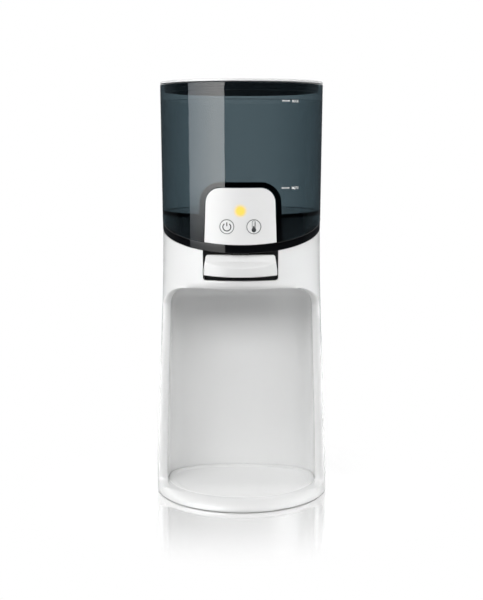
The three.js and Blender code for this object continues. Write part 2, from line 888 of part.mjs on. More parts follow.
function deck() {
  const band = without(
    disc(deckRadius, panelFoot - bandHeight, platformTop, fineSteps).intersect(aboveSeam(seatGap / 2)),
    aboveSeam(bandHeight),
  );
  const notchHalfWidth = panelFootHalfWidth + pocketWall + 3 * pocketClearance;
  const notchDepth = towerBackDepth - pocketClearance - pocketWall;
  const notch = block(
    [-notchHalfWidth, notchHalfWidth],
    [-cutReach, -notchDepth],
    [0, platformTop + cutOver],
  ).intersect(aboveSeam(bandHeight));
  const platform = disc(platformRadius, panelFoot, platformTop, fineSteps).intersect(aboveSeam(seatGap / 2));
  const hollow = disc(platformRadius - platformWall, 0, platformTop - platformWall);
  const floorNotch = block(
    [-notchHalfWidth - platformWall, notchHalfWidth + platformWall],
    [-cutReach, platformWall - notchDepth],
    [0, platformTop + cutOver],
  ).intersect(aboveSeam(0));
  const shell = without(joined(band, platform), without(hollow, floorNotch));
  return without(
    shell,
    notch,
    rodZ(socketHoleRadius, 0, outletDepth, 0, tankFloorHeight, smallRoundSteps),
  );
}

// Socket under the deck that takes the tank's spigot

const socketBore = 11;
const socketWall = 2;
const socketTop = platformTop - platformWall - seatGap;
const socketLedgeRise = 0.2;
const socketLedgeDepth = 3.7;
const socketLedge = poppetFlangeFoot + socketLedgeRise;
const socketFloor = socketLedge - socketLedgeDepth;
const socketLedgeBore = 9;
const hoseRadius = 3.6;
const hoseBore = 2.2;
const socketTailLength = 8.7;
const socketTail = socketFloor - socketTailLength;

function deckSocket() {
  const flangeRadius = 16;
  const flangeThickness = 2;
  const foot = socketFloor - socketWall;
  const pinTop = poppetFlangeFoot - seatGap;
  const pinRadius = 1.3;
  const cup = revolved([
    [hoseBore, socketTail],
    [hoseRadius, socketTail],
    [hoseRadius, foot],
    [socketBore + socketWall, foot],
    [socketBore + socketWall, socketTop - flangeThickness],
    [flangeRadius, socketTop - flangeThickness],
    [flangeRadius, socketTop],
    [socketBore, socketTop],
    [socketBore, socketLedge],
    [socketLedgeBore, socketLedge],
    [socketLedgeBore, socketFloor],
    [hoseBore, socketFloor],
    [hoseBore, socketTail],
  ], smallRoundSteps);
  const bridge = block(
    [-socketLedgeBore - socketWall / 2, socketLedgeBore + socketWall / 2],
    [-pinRadius, pinRadius],
    [socketFloor - socketWall / 2, socketFloor + socketWall / 2],
  );
  return joined(cup, bridge, rodZ(pinRadius, 0, 0, socketFloor, pinTop)).translate(0, outletDepth, 0);
}

function socketSeal() {
  const height = 5;
  const inner = tankSpigotRadius + seatGap;
  const outer = socketBore - seatGap;
  const low = socketLedge + seatGap;
  const lip = seatGap;
  return revolved([
    [inner + lip, low],
    [outer, low],
    [outer, low + height],
    [inner + lip, low + height],
    [inner, low + height - lip],
    [inner, low + height / 2],
    [inner + lip, low],
  ], smallRoundSteps).translate(0, outletDepth, 0);
}

// Heater under the deck, with its hoses and sensors

const heaterHalfWidth = 32;
const heaterSetback = 9;
const heaterDepth = 28;
const heaterHeight = 19.1;
const heaterFront = outletDepth - heaterSetback;
const heaterBack = heaterFront + heaterDepth;
const heaterTop = chamberFloor + heaterHeight;
const heaterCorner = 6;
const outletHoseRise = 9.1;
const outletHoseHeight = chamberFloor + outletHoseRise;
const heaterSpigot = 3.2;
const finCount = 5;
const finDepth = 2;

function heaterBlock() {
  const low = chamberFloor + seatGap;
  const outline = roundedRectangle(heaterHalfWidth, heaterFront, heaterBack, heaterCorner);
  const pitch = 2 * (heaterHalfWidth - heaterCorner) / (finCount + 1);
  const grooves = [];
  for (let i = 1; i <= finCount; i += 1) {
    const x = heaterCorner - heaterHalfWidth + i * pitch;
    grooves.push(block(
      [x - pitch / 5, x + pitch / 5],
      [heaterBack - finDepth, heaterBack + cutOver],
      [low - cutOver, heaterTop + cutOver],
    ));
  }
  const body = without(raised(outline, low, heaterTop), ...grooves);
  const spigots = joined(
    rodY(heaterSpigot, 0, heaterFront - heaterSpigot, heaterFront + cutOver, outletHoseHeight),
    rodZ(heaterSpigot, 0, outletDepth, heaterTop - cutOver, heaterTop + heaterSpigot),
  );
  return without(
    joined(body, spigots),
    rodY(hoseBore, 0, 0, heaterFront + heaterSpigot, outletHoseHeight),
    rodZ(hoseBore, 0, outletDepth, heaterTop - heaterSpigot, socketTail),
  );
}

function tube(outer, inner, low, high) {
  return ring(inner, outer, low, high, tinyRoundSteps);
}

function inletHose() {
  const low = heaterTop + heaterSpigot + seatGap;
  return tube(hoseRadius, hoseBore, low, socketTail - seatGap).translate(0, outletDepth, 0);
}

const valveRadius = 9;
const valvePort = 3.2;
const portReach = 3;

function outletHose() {
  const from = spoutDepth + valveRadius + portReach + seatGap;
  const to = heaterFront - heaterSpigot - seatGap;
  return without(
    rodY(hoseRadius, 0, from, to, outletHoseHeight),
    rodY(hoseBore, 0, from - cutOver, to + cutOver, outletHoseHeight),
  );
}

const sensorSpacing = 18;
const sensorDepth = 30;

function thermistor() {
  const radius = 3;
  const height = 4;
  const low = heaterTop + seatGap;
  return joined(
    rodZ(radius, -sensorSpacing, sensorDepth, low, low + height),
    rodZ(radius / 2, -sensorSpacing, sensorDepth, low + height / 2, low + 2 * height),
  );
}

function thermalFuse() {
  const halfWidth = 5;
  const thickness = 3;
  const radius = 2.2;
  const low = heaterTop + seatGap;
  return joined(
    block(
      [sensorSpacing - halfWidth, sensorSpacing + halfWidth],
      [sensorDepth - radius, sensorDepth + radius],
      [low, low + thickness / 2],
    ),
    rodX(radius, sensorSpacing - halfWidth, sensorSpacing + halfWidth, sensorDepth, low + radius),
  );
}

// Dispense valve over the spout

const valveSeatRise = 4.1;
const valveChamberHeight = 10.2;
const valveSeat = chamberFloor + valveSeatRise;
const valveTop = valveSeat + valveChamberHeight;
const valveBore = 6.4;
const valveHole = 3;
const capThickness = 2.2;
const plungerStemRadius = 2.2;
const plungerRadius = 4.6;
const plungerThickness = 3;
const headRadius = 5.2;
const headThickness = 2.5;

function valveBody() {
  const low = chamberFloor + seatGap;
  const tail = nicheCeilingHeight + seatGap;
  const shell = revolved([
    [valveHole, tail],
    [spigotRadius, tail],
    [spigotRadius, low],
    [valveRadius, low],
    [valveRadius, valveTop],
    [valveBore, valveTop],
    [valveBore, valveSeat],
    [valveHole, valveSeat],
    [valveHole, tail],
  ], smallRoundSteps).translate(0, spoutDepth, 0);
  const portEnd = spoutDepth + valveRadius + portReach;
  const port = rodY(valvePort, 0, spoutDepth + (valveRadius + valveBore) / 2, portEnd, outletHoseHeight);
  return without(
    joined(shell, port),
    rodY(hoseBore, 0, spoutDepth, portEnd + cutOver, outletHoseHeight),
  );
}

function valveCap() {
  const low = valveTop + seatGap;
  return ring(plungerStemRadius + seatGap, valveRadius, low, low + capThickness, smallRoundSteps)
    .translate(0, spoutDepth, 0);
}

function spoutNozzle() {
  const top = nicheCeilingHeight - seatGap;
  const length = 6.5;
  const tipRadius = 5.2;
  const flangeRadius = 9;
  const flangeThickness = 1.5;
  const bore = 2.6;
  return revolved([
    [bore, top - length],
    [tipRadius, top - length],
    [tipRadius + flangeThickness, top - flangeThickness],
    [flangeRadius, top - flangeThickness],
    [flangeRadius, top],
    [bore, top],
    [bore, top - length],
  ], smallRoundSteps).translate(0, spoutDepth, 0);
}

// Lever: a broad nose in the opening, an arm over the pivot and a fork under the plunger's head

const leverHalfWidth = 31.2;
const leverTopHalfWidth = 29.5;
const leverFootGap = 3.7;
const leverHeight = 17.9;
const leverShoulderRise = 10.6;
const leverFoot = leverOpeningFoot + leverFootGap;
const leverTop = leverFoot + leverHeight;
const leverShoulder = leverFoot + leverShoulderRise;
const leverCorner = 2.2;
const leverTopSetback = 3.7;
const leverFaceSetback = 0.3;
const leverTopRun = 4;
const leverFaceDrop = 5.3;
const leverTopDepth = leverTopSetback - neckRadius;
const leverFaceDepth = leverFaceSetback - neckRadius;
const leverBack = leverTopDepth + leverTopRun;
const leverFaceFoot = leverTop - leverFaceDrop;
const scoopFallShare = 0.71;
const leverWall = 2;
const pivotRoom = 18;
const pivotDepth = leverBack + pivotRoom;
const pivotHeight = leverShoulder;
const pivotBossRadius = 4;
const pivotBossHalf = 14;
const pivotPinRadius = 1.5;
const armHalfWidth = 6;
const armHalfHeight = 2.5;
const forkSlotHalf = 3;
const forkOverlap = 2;

function leverFront() {
  const shape = new THREE.Shape();
  shape.moveTo(leverHalfWidth, leverFoot);
  shape.lineTo(leverHalfWidth, leverShoulder);
  shape.lineTo(leverTopHalfWidth, leverTop - leverCorner);
  shape.absarc(leverTopHalfWidth - leverCorner, leverTop - leverCorner, leverCorner, 0, Math.PI / 2, false);
  shape.lineTo(leverCorner - leverTopHalfWidth, leverTop);
  shape.absarc(
    leverCorner - leverTopHalfWidth, leverTop - leverCorner, leverCorner, Math.PI / 2, Math.PI, false,
  );
  shape.lineTo(-leverHalfWidth, leverShoulder);
  shape.lineTo(-leverHalfWidth, leverFoot);
  return shape;
}

// Side profile: steep top face, then the scoop that falls to the front
function leverSide(inset) {
  const front = -baseRadius - cutOver;
  const scoopFoot = leverFaceFoot - inset + scoopFallShare * (front - leverFaceDepth);
  const shape = new THREE.Shape();
  shape.moveTo(leverTopDepth, leverTop - inset);
  shape.lineTo(leverFaceDepth, leverFaceFoot - inset);
  shape.lineTo(front, scoopFoot);
  shape.lineTo(front, leverFoot + inset);
  shape.lineTo(leverBack + inset, leverFoot + inset);
  shape.lineTo(leverBack + inset, leverTop - inset);
  return shape;
}

function leverNose() {
  const outer = sweptAcross(leverSide(0), 2 * leverHalfWidth)
    .intersect(sweptInDepth(leverFront(), -cutReach, 0))
    .intersect(disc(leverReach, 0, tankUnderside, fineSteps));
  const hollow = sweptAcross(leverSide(leverWall), 2 * (leverTopHalfWidth - 2 * leverWall))
    .intersect(disc(leverReach - leverWall, 0, tankUnderside));
  return without(outer, hollow);
}

function dispenseLever() {
  const armLow = pivotHeight - armHalfHeight;
  const armHigh = pivotHeight + armHalfHeight;
  const armDepth = [leverBack - 2 * leverWall, spoutDepth + forkOverlap];
  const arm = block([-armHalfWidth, armHalfWidth], armDepth, [armLow, armHigh]);
  const spine = block(
    [-armHalfWidth, armHalfWidth],
    [leverFaceDepth, leverBack + leverWall],
    [leverFoot + leverWall / 2, armHigh],
  );
  const slot = block(
    [-forkSlotHalf, forkSlotHalf],
    [spoutDepth - 2 * headRadius, 0],
    [armLow - cutOver, armHigh + cutOver],
  );
  const sleeve = rodX(
    pivotBossRadius, -pivotBossHalf, pivotBossHalf, pivotDepth, pivotHeight, smallRoundSteps,
  );
  const bore = rodX(
    pivotPinRadius + seatGap, -pivotBossHalf - cutOver, pivotBossHalf + cutOver, pivotDepth, pivotHeight,
  );
  return without(joined(leverNose(), arm, spine, sleeve), slot, bore);
}

const bracketLugGap = 0.6;
const bracketLug = 2.4;

function pivotPin() {
  const half = pivotBossHalf + bracketLugGap + bracketLug + bracketLugGap;
  return rodX(pivotPinRadius, -half, half, pivotDepth, pivotHeight);
}

function leverBracket() {
  const inner = pivotBossHalf + bracketLugGap;
  const outer = inner + bracketLug;
  const low = chamberFloor + seatGap;
  const footDepth = [pivotDepth - pivotBossRadius, pivotDepth + pivotBossRadius];
  const foot = block([-outer, outer], footDepth, [low, low + bracketLug]);
  const lugs = [-1, 1].map((hand) => {
    const range = hand < 0 ? [-outer, -inner] : [inner, outer];
    return joined(
      block(range, [pivotDepth - pivotBossRadius, pivotDepth + pivotBossRadius], [low, pivotHeight]),
      rodX(pivotBossRadius, range[0], range[1], pivotDepth, pivotHeight, smallRoundSteps),
    );
  });
  const bore = rodX(pivotPinRadius + seatGap, -outer - cutOver, outer + cutOver, pivotDepth, pivotHeight);
  return without(joined(foot, ...lugs), bore);
}

// Black liner of the lever opening
function leverBezel() {
  const clearance = 0.4;
  const wall = 1.4;
  const depth = 7.5;
  const back = leverBack + depth;
  const slotHalf = armHalfWidth + 2 * clearance;
  const slotLow = pivotHeight - 2 * pivotBossRadius;
  const skin = disc(bodyRadius(leverOpeningFoot) - housingWall - seatGap, 0, tankUnderside, fineSteps);
  const outer = sweptInDepth(leverOpening(clearance + wall), -cutReach, back + wall).intersect(skin);
  const inner = sweptInDepth(leverOpening(clearance), -cutReach, back);
  return without(
    outer,
    inner,
    aboveSeam(-seatGap),
    block([-slotHalf, slotHalf], [back - cutOver, 0], [slotLow, tankUnderside]),
  );
}

function valvePlunger() {
  const foot = valveSeat + seatGap;
  const headLow = pivotHeight + armHalfHeight + seatGap;
  const chamfer = 0.8;
  return revolved([
    [0, foot],
    [plungerRadius - chamfer, foot],
    [plungerRadius, foot + chamfer],
    [plungerRadius, foot + plungerThickness],
    [plungerStemRadius, foot + plungerThickness],
    [plungerStemRadius, headLow],
    [headRadius, headLow],
    [headRadius, headLow + headThickness],
    [0, headLow + headThickness],
  ], smallRoundSteps).translate(0, spoutDepth, 0);
}

function valveSpring() {
  const turns = 3;
  const coilRadius = plungerStemRadius + seatGap + 2 * springWireRadius;
  return springSolid(
    coilRadius,
    springWireRadius,
    valveSeat + seatGap + plungerThickness + seatGap,
    valveTop,
    turns,
    0,
    spoutDepth,
  );
}

// Control panel, its tower and what is behind it

const faceRadius = tankOuterRadius((panelFoot + panelTopHeight) / 2) + panelProudness;
const keyRise = 15.4;
const keyHeight = seamHeight(-neckRadius) + bandHeight + keyRise;
const keySpacing = 11.2;
const keyRadius = 6.1;
const keyFlangeRadius = 7.4;
const keyFlangeThickness = 1.2;
const keyStemRadius = 2.4;
const keyTravel = 0.8;
const lightRise = 13.1;
const lightHeight = keyHeight + lightRise;
const lightRadius = 3.7;
const boardRoom = 5.9;
const boardFront = -towerBackDepth - boardRoom;
const boardThickness = 1.6;
const switchDepth = 3;
const switchHalf = 3.2;

function facePlane(inset) {
  return disc(faceRadius - inset, 0, cutTop, fineSteps);
}

function controlPanel() {
  const plate = archPrism(0, -cutReach, -panelFootHalfWidth)
    .intersect(without(facePlane(0), facePlane(panelThickness)))
    .intersect(aboveSeam(bandHeight + seatGap));
  return without(
    plate,
    rodY(keyRadius + seatGap, -keySpacing, -cutReach, 0, keyHeight, smallRoundSteps),
    rodY(keyRadius + seatGap, keySpacing, -cutReach, 0, keyHeight, smallRoundSteps),
    rodY(lightRadius + seatGap, 0, -cutReach, 0, lightHeight, smallRoundSteps),
  );
}

function panelTower() {
  const front = panelThickness + seatGap;
  const shell = without(
    archPrism(-seatGap, -cutReach, -towerBackDepth),
    archPrism(-seatGap - towerWall, -cutReach, -towerBackDepth - towerWall),
  ).intersect(facePlane(front)).intersect(aboveSeam(bandHeight + seatGap));
  const postSpacing = 19;
  const postHeights = [keyHeight - keyRadius, lightHeight + keyRadius];
  const posts = postHeights.flatMap((height) => [-1, 1].map((hand) => rodY(
    towerWall,
    hand * postSpacing,
    boardFront + boardThickness + seatGap,
    -towerBackDepth - towerWall / 2,
    height,
  )));
  return joined(shell, ...posts);
}

function controlBoard() {
  const halfWidth = 24;
  const footRoom = 2;
  const margin = 4;
  const low = seamHeight(boardFront + boardThickness) + bandHeight + footRoom;
  const high = lightHeight + keyRadius + margin;
  return block([-halfWidth, halfWidth], [boardFront, boardFront + boardThickness], [low, high]);
}

function keySwitch(x) {
  const back = boardFront - seatGap;
  const capRadius = 1.6;
  const capHeight = 0.6;
  return joined(
    block(
      [x - switchHalf, x + switchHalf],
      [back - switchDepth, back],
      [keyHeight - switchHalf, keyHeight + switchHalf],
    ),
    rodY(capRadius, x, back - switchDepth - capHeight, back, keyHeight),
  );
}

function key(x) {
  const flangeEdge = Math.abs(x) + keyFlangeRadius;
  const flangeFace = seatGap - Math.sqrt((faceRadius - panelThickness) ** 2 - flangeEdge ** 2);
  const stemEnd = boardFront - seatGap - switchDepth - 2 * seatGap - seatGap - keyTravel;
  const cap = rodY(keyRadius, x, -cutReach, flangeFace + keyFlangeThickness, keyHeight, 2 * smallRoundSteps)
    .intersect(facePlane(0));
  return joined(
    cap,
    rodY(keyFlangeRadius, x, flangeFace, flangeFace + keyFlangeThickness, keyHeight, smallRoundSteps),
    rodY(keyStemRadius, x, flangeFace, stemEnd, keyHeight),
  );
}

function statusLight() {
  const flangeRadius = 5;
  const flangeFace = -faceRadius + panelThickness + 2 * seatGap;
  return joined(
    rodY(lightRadius, 0, -cutReach, flangeFace + seatGap, lightHeight, smallRoundSteps)
      .intersect(facePlane(0)),
    rodY(flangeRadius, 0, flangeFace, flangeFace + panelThickness, lightHeight, smallRoundSteps),
  );
}

function statusLed() {
  const half = 1.8;
  const back = boardFront - seatGap;
  const front = -faceRadius + 2 * panelThickness + 3 * seatGap;
  const domeRadius = 1.5;
  return joined(
    block([-half, half], [back - domeRadius, back], [lightHeight - half, lightHeight + half]),
    rodY(domeRadius, 0, front, back - seatGap, lightHeight),
  );
}

// Lid and its gasket

const lidSetback = 0.1;
const lidHeight = 2.9;
const lidRadius = tankRimRadius - lidSetback;
const lidTop = tankRimHeight + lidHeight;
const lidEdge = 1.3;
const lidCrown = 0.5;
const plugRoom = 5.7;
const plugRadius = tankFootRadius - plugRoom;
const plugWall = 2.2;
const plugDepth = 6.7;
const gasketWidth = 2.8;
const plugFoot = tankRimHeight - plugDepth;
const gasketRadius = plugRadius + gasketWidth;
const gasketLip = 0.9;

function tankLid() {
  const low = tankRimHeight + seatGap;
  const crownFoot = lidTop - lidCrown;
  const diagonalShare = 0.3;
  const crownShare = 0.5;
  return revolved([
    [0, low],
    [plugRadius - plugWall, low],
    [plugRadius - plugWall, plugFoot],
    [plugRadius, plugFoot],
    [plugRadius, low],
    [lidRadius - lidEdge * diagonalShare, low],
    [lidRadius, low + lidEdge * diagonalShare],
    [lidRadius, crownFoot - lidEdge],
    [lidRadius - lidEdge * diagonalShare, crownFoot - lidEdge * diagonalShare],
    [lidRadius - lidEdge, crownFoot],
    [lidRadius * crownShare, lidTop],
    [0, lidTop],
  ], fineSteps);
}

function lidGasket() {
  const inner = plugRadius + seatGap;
  const low = plugFoot + seatGap;
  const high = tankRimHeight;
  const lipHeight = 2;
  return revolved([
    [inner, low],
    [gasketRadius - gasketLip, low],
    [gasketRadius, low + gasketLip],
    [gasketRadius, high - 2 * lipHeight],
    [gasketRadius + gasketLip, high - 1.5 * lipHeight],
    [gasketRadius, high - lipHeight],
    [gasketRadius, high],
    [inner, high],
    [inner, low],
  ], fineSteps);
}

// Finishes

const finishes = {
  whitePlastic: { color: 0xf1f1f0, roughness: 0.3, metalness: 0 },
  blackGloss: { color: 0x08090b, roughness: 0.12, metalness: 0 },
  blackPlastic: { color: 0x17181a, roughness: 0.5, metalness: 0 },
  smoke: { color: 0x485c60, roughness: 0.08, metalness: 0 },
  navyRubber: { color: 0x1b2431, roughness: 0.6, metalness: 0 },
  rubber: { color: 0x2a2a2b, roughness: 0.8, metalness: 0 },
  amberLens: { color: 0xfce064, roughness: 0.3, metalness: 0 },
  greyPlastic: { color: 0x9a9c9e, roughness: 0.5, metalness: 0 },
  silicone: { color: 0xd8d9d6, roughness: 0.6, metalness: 0 },
  aluminium: { color: 0xb4b8bc, roughness: 0.4, metalness: 1 },
  steel: { color: 0xc4c6c8, roughness: 0.25, metalness: 1 },
  boardGreen: { color: 0x1f5a3c, roughness: 0.5, metalness: 0 },
};

const group = new THREE.Group();

function place(name, solid, finish) {
  const mesh = new THREE.Mesh(geometryOf(solid), new THREE.MeshStandardMaterial(finishes[finish]));
  mesh.name = name;
  group.add(mesh);
}

const blank = housingBlank();
place('front_housing', frontHousing(blank), 'whitePlastic');
place('rear_cover', rearCover(blank), 'whitePlastic');
place('base_plate', basePlate(), 'blackPlastic');
footAngles.forEach((angle, i) => place(`foot_${i + 1}`, foot(angle), 'rubber'));
bossPlaces.forEach((spot, i) => place(`base_screw_${i + 1}`, baseScrew(spot), 'steel'));
place('drip_tray', dripTray(), 'whitePlastic');
place('tank_deck', deck(), 'blackGloss');
place('deck_socket', deckSocket(), 'blackPlastic');
place('socket_seal', socketSeal(), 'silicone');
place('heater_block', heaterBlock(), 'aluminium');
place('inlet_hose', inletHose(), 'silicone');
place('outlet_hose', outletHose(), 'silicone');
place('thermistor', thermistor(), 'steel');
place('thermal_fuse', thermalFuse(), 'silicone');
place('valve_body', valveBody(), 'greyPlastic');
place('valve_cap', valveCap(), 'greyPlastic');
place('valve_plunger', valvePlunger(), 'silicone');
place('valve_spring', valveSpring(), 'steel');
place('spout_nozzle', spoutNozzle(), 'greyPlastic');
place('dispense_lever', dispenseLever(), 'whitePlastic');
place('lever_pin', pivotPin(), 'steel');
place('lever_bracket', leverBracket(), 'greyPlastic');
place('lever_bezel', leverBezel(), 'blackPlastic');
place('panel_tower', panelTower(), 'blackPlastic');
place('control_panel', controlPanel(), 'whitePlastic');
place('power_key', key(-keySpacing), 'whitePlastic');
place('temperature_key', key(keySpacing), 'whitePlastic');
place('power_switch', keySwitch(-keySpacing), 'blackPlastic');
place('temperature_switch', keySwitch(keySpacing), 'blackPlastic');
place('status_light', statusLight(), 'amberLens');
place('status_led', statusLed(), 'amberLens');
place('control_board', controlBoard(), 'boardGreen');
place('power_board', powerBoard(), 'boardGreen');
place('power_inlet', powerInlet(), 'blackPlastic');
place('water_tank', waterTank(), 'smoke');
place('tank_poppet', tankPoppet(), 'silicone');
place('poppet_spring', poppetSpring(), 'steel');
place('tank_lid', tankLid(), 'whitePlastic');
place('lid_gasket', lidGasket(), 'navyRubber');

export default group;
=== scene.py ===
"""Instant water warmer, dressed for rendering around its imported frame.

A smoke-tinted tank lifts off a flared white housing with a deep bottle niche. Every piece is
built in millimetres, +Z up with the front facing -Y, and is scaled to metres when it is finished.
"""

import logging
import math
from collections.abc import Callable, Sequence
from dataclasses import dataclass, replace
from enum import Enum, IntEnum

import bmesh
import bpy
from mathutils import Matrix, Vector


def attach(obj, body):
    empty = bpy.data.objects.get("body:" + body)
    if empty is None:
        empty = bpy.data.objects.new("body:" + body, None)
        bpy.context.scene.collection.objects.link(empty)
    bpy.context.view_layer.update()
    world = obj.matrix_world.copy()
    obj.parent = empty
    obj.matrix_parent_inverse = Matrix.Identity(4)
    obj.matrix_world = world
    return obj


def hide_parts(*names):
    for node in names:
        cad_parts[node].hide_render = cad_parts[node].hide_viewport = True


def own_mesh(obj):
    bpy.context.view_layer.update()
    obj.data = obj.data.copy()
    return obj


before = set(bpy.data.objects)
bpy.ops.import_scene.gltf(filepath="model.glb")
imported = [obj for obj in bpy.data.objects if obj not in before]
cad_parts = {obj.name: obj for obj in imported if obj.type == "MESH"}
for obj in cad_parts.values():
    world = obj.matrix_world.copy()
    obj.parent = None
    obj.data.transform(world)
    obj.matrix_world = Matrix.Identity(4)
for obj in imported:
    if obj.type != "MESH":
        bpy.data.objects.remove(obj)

LOG = logging.getLogger("water_warmer")
MM = 0.001
FULL_TURN = 2 * math.pi
QUARTER_TURN = math.pi / 2
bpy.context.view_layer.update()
# Millimetres: past the object's reach in plan, how proud a print stands, and the gaps that are
# closed in a mesh.
BEYOND = 120.0
PRINT_DEPTH = 0.06
MERGE_GAP = 0.001
SLIVER_GAP = 0.004

Mesh = bmesh.types.BMesh
Socket = bpy.types.NodeSocket
Point = tuple[float, float]
Triple = tuple[float, float, float]
Colour = Triple
Input = Socket | float | Sequence[float]


class Cut(Enum):
    """How a tool solid changes another solid."""

    MINUS = "DIFFERENCE"
    PLUS = "UNION"
    COMMON = "INTERSECT"


class Plane(Enum):
    """The plane that a flat outline is drawn in, by the axis that it is swept along."""

    FRONT = "y"
    SIDE = "x"
    PLAN = "z"


class Sides(IntEnum):
    """How many sides a round form has, from a wire to the face of the whole body."""

    WIRE = 16
    PIN = 32
    SCREW = 40
    POST = 48
    KNOB = 64
    KEY = 96
    HOLLOW = 192
    RING = 256
    TANK = 288
    FACE = 320


# Mesh building


def placed(plane: Plane, point: Point, along: float) -> Vector:
    """Puts a point of a flat outline into space.

    Args:
        plane: The plane that the outline is drawn in.
        point: The point's two coordinates in that plane.
        along: Its place on the axis that the outline is swept along.

    Returns:
        The point in space.
    """
    across, up = point
    if plane is Plane.FRONT:
        return Vector((across, along, up))
    if plane is Plane.SIDE:
        return Vector((along, across, up))
    return Vector((across, up, along))


def ring_of(mesh: Mesh, outline: Sequence[Vector]) -> list[bmesh.types.BMVert]:
    """Adds a closed ring of edges through the points of an outline.

    Args:
        mesh: The mesh that the ring goes into.
        outline: The points, in order.

    Returns:
        The ring's vertices, in order.
    """
    ring = bmesh.ops.create_circle(mesh, cap_ends=False, segments=len(outline), radius=1.0)["verts"]
    for vertex, point in zip(ring, outline):
        vertex.co = point
    return ring


def edges_round(ring: Sequence[bmesh.types.BMVert]) -> list[bmesh.types.BMEdge]:
    """Returns the edges that join the vertices of a closed ring.

    Args:
        ring: The ring's vertices.

    Returns:
        Its edges, in no order.
    """
    members = set(ring)
    return list({
        edge for vertex in ring for edge in vertex.link_edges if edge.other_vert(vertex) in members
    })


def vertices_in(items: Sequence[object]) -> list[bmesh.types.BMVert]:
    """Returns the vertices among the results of an operator."""
    return [item for item in items if isinstance(item, bmesh.types.BMVert)]


def facing_out(mesh: Mesh) -> Mesh:
    """Merges a mesh's doubles and turns its faces outwards.

    Args:
        mesh: The closed mesh, changed in place.

    Returns:
        The same mesh.
    """
    bmesh.ops.remove_doubles(mesh, verts=mesh.verts, dist=MERGE_GAP)
    bmesh.ops.recalc_face_normals(mesh, faces=mesh.faces)
    return mesh


def loft(outlines: Sequence[Sequence[Vector]]) -> Mesh:
    """Makes a closed solid through outlines with equal numbers of points.

    Args:
        outlines: The outlines, from one end of the solid to the other.

    Returns:
        The solid, with flat ends.
    """
    mesh = bmesh.new()
    ring = ring_of(mesh, outlines[0])
    bmesh.ops.contextual_create(mesh, geom=edges_round(ring))
    for outline in outlines[1:]:
        grown = bmesh.ops.extrude_edge_only(mesh, edges=edges_round(ring))["geom"]
        fresh = set(vertices_in(grown))
        ring = [
            next(far for edge in vertex.link_edges if (far := edge.other_vert(vertex)) in fresh)
            for vertex in ring
        ]
        for vertex, point in zip(ring, outline):
            vertex.co = point
    bmesh.ops.contextual_create(mesh, geom=edges_round(ring))
    return facing_out(mesh)


def prism(plane: Plane, outline: Sequence[Point], low: float, high: float) -> Mesh:
    """Sweeps a flat outline between two places on the axis across it.

    Args:
        plane: The plane that the outline is drawn in.
        outline: Its points, in order.
        low: Where the sweep starts.
        high: Where it ends.

    Returns:
        The closed solid.
    """
    return loft([[placed(plane, point, along) for point in outline] for along in (low, high)])


def revolve(profile: Sequence[Point], segments: int = Sides.HOLLOW) -> Mesh:
    """Turns a profile of (radius, height) points round the vertical axis.

    Args:
        profile: The points. They start and end on the axis, or the last one meets the first.
        segments: How many steps a full turn has.

    Returns:
        The closed solid.
    """
    mesh = bmesh.new()
    line = [mesh.verts.new((radius, 0, height)) for radius, height in profile]
    for start, end in zip(line, line[1:]):
        bmesh.ops.contextual_create(mesh, geom=[start, end])
    bmesh.ops.spin(
        mesh, geom=mesh.verts[:] + mesh.edges[:], cent=(0, 0, 0), axis=(0, 0, 1),
        angle=FULL_TURN, steps=segments, use_merge=True,
    )
    return facing_out(mesh)


def drum(radius: float, low: float, high: float, segments: int = Sides.HOLLOW) -> Mesh:
    """Makes a round solid on the vertical axis, between two heights."""
    return revolve([(0, low), (radius, low), (radius, high), (0, high)], segments)


def rod(
    plane: Plane, centre: Point, radius: float, low: float, high: float, sides: int = Sides.POST,
) -> Mesh:
    """Makes a round rod along one axis.

    Args:
        plane: The plane across the rod.
        centre: The rod's middle in that plane.
        radius: Its radius.
        low: Where it starts on its own axis.
        high: Where it ends.
        sides: How many sides it has.

    Returns:
        The closed solid.
    """
    circle = arc(centre, radius, 0, FULL_TURN * (sides - 1) / sides, sides - 1)
    return prism(plane, circle, low, high)


def box(low: Sequence[float], high: Sequence[float]) -> Mesh:
    """Makes a block between its lowest and highest corners.

    Args:
        low: Its lowest corner.
        high: Its highest corner.

    Returns:
        The closed solid.
    """
    mesh = bmesh.new()
    bmesh.ops.create_cube(mesh, size=1.0)
    size = [top - foot for foot, top in zip(low, high)]
    middle = [(top + foot) / 2 for foot, top in zip(low, high)]
    bmesh.ops.scale(mesh, vec=size, verts=mesh.verts)
    bmesh.ops.translate(mesh, vec=middle, verts=mesh.verts)
    return mesh


def arc(centre: Point, radius: float, start: float, end: float, steps: int) -> list[Point]:
    """Returns points along an arc, both ends included.

    Args:
        centre: The arc's centre.
        radius: Its radius.
        start: The angle of its first point, in radians.
        end: The angle of its last point.
        steps: How many steps lie between them.

    Returns:
        The points, in order.
    """
    return [
        (centre[0] + radius * math.cos(start + (end - start) * i / steps),
         centre[1] + radius * math.sin(start + (end - start) * i / steps))
        for i in range(steps + 1)
    ]


def quarter_turns(steps: int) -> list[float]:
    """Returns the angles of a quarter turn, both ends included, in radians."""
    return [QUARTER_TURN * i / steps for i in range(steps + 1)]


def rounded_box(
    half_width: float, low: float, high: float, corner: float, steps: int = 10,
) -> list[Point]:
    """Returns the outline of a rectangle with round corners, centred across.

    Args:
        half_width: Half its width.
        low: Its lowest point.
        high: Its highest point.
        corner: The radius of its corners.
        steps: How many steps each corner has.

    Returns:
        The points, in order.
    """
    inner = half_width - corner
    foot, crown = low + corner, high - corner
    points: list[Point] = []
    for turn, centre in enumerate([(inner, foot), (inner, crown), (-inner, crown), (-inner, foot)]):
        points += arc(centre, corner, (turn - 1) * QUARTER_TURN, turn * QUARTER_TURN, steps)
    return points


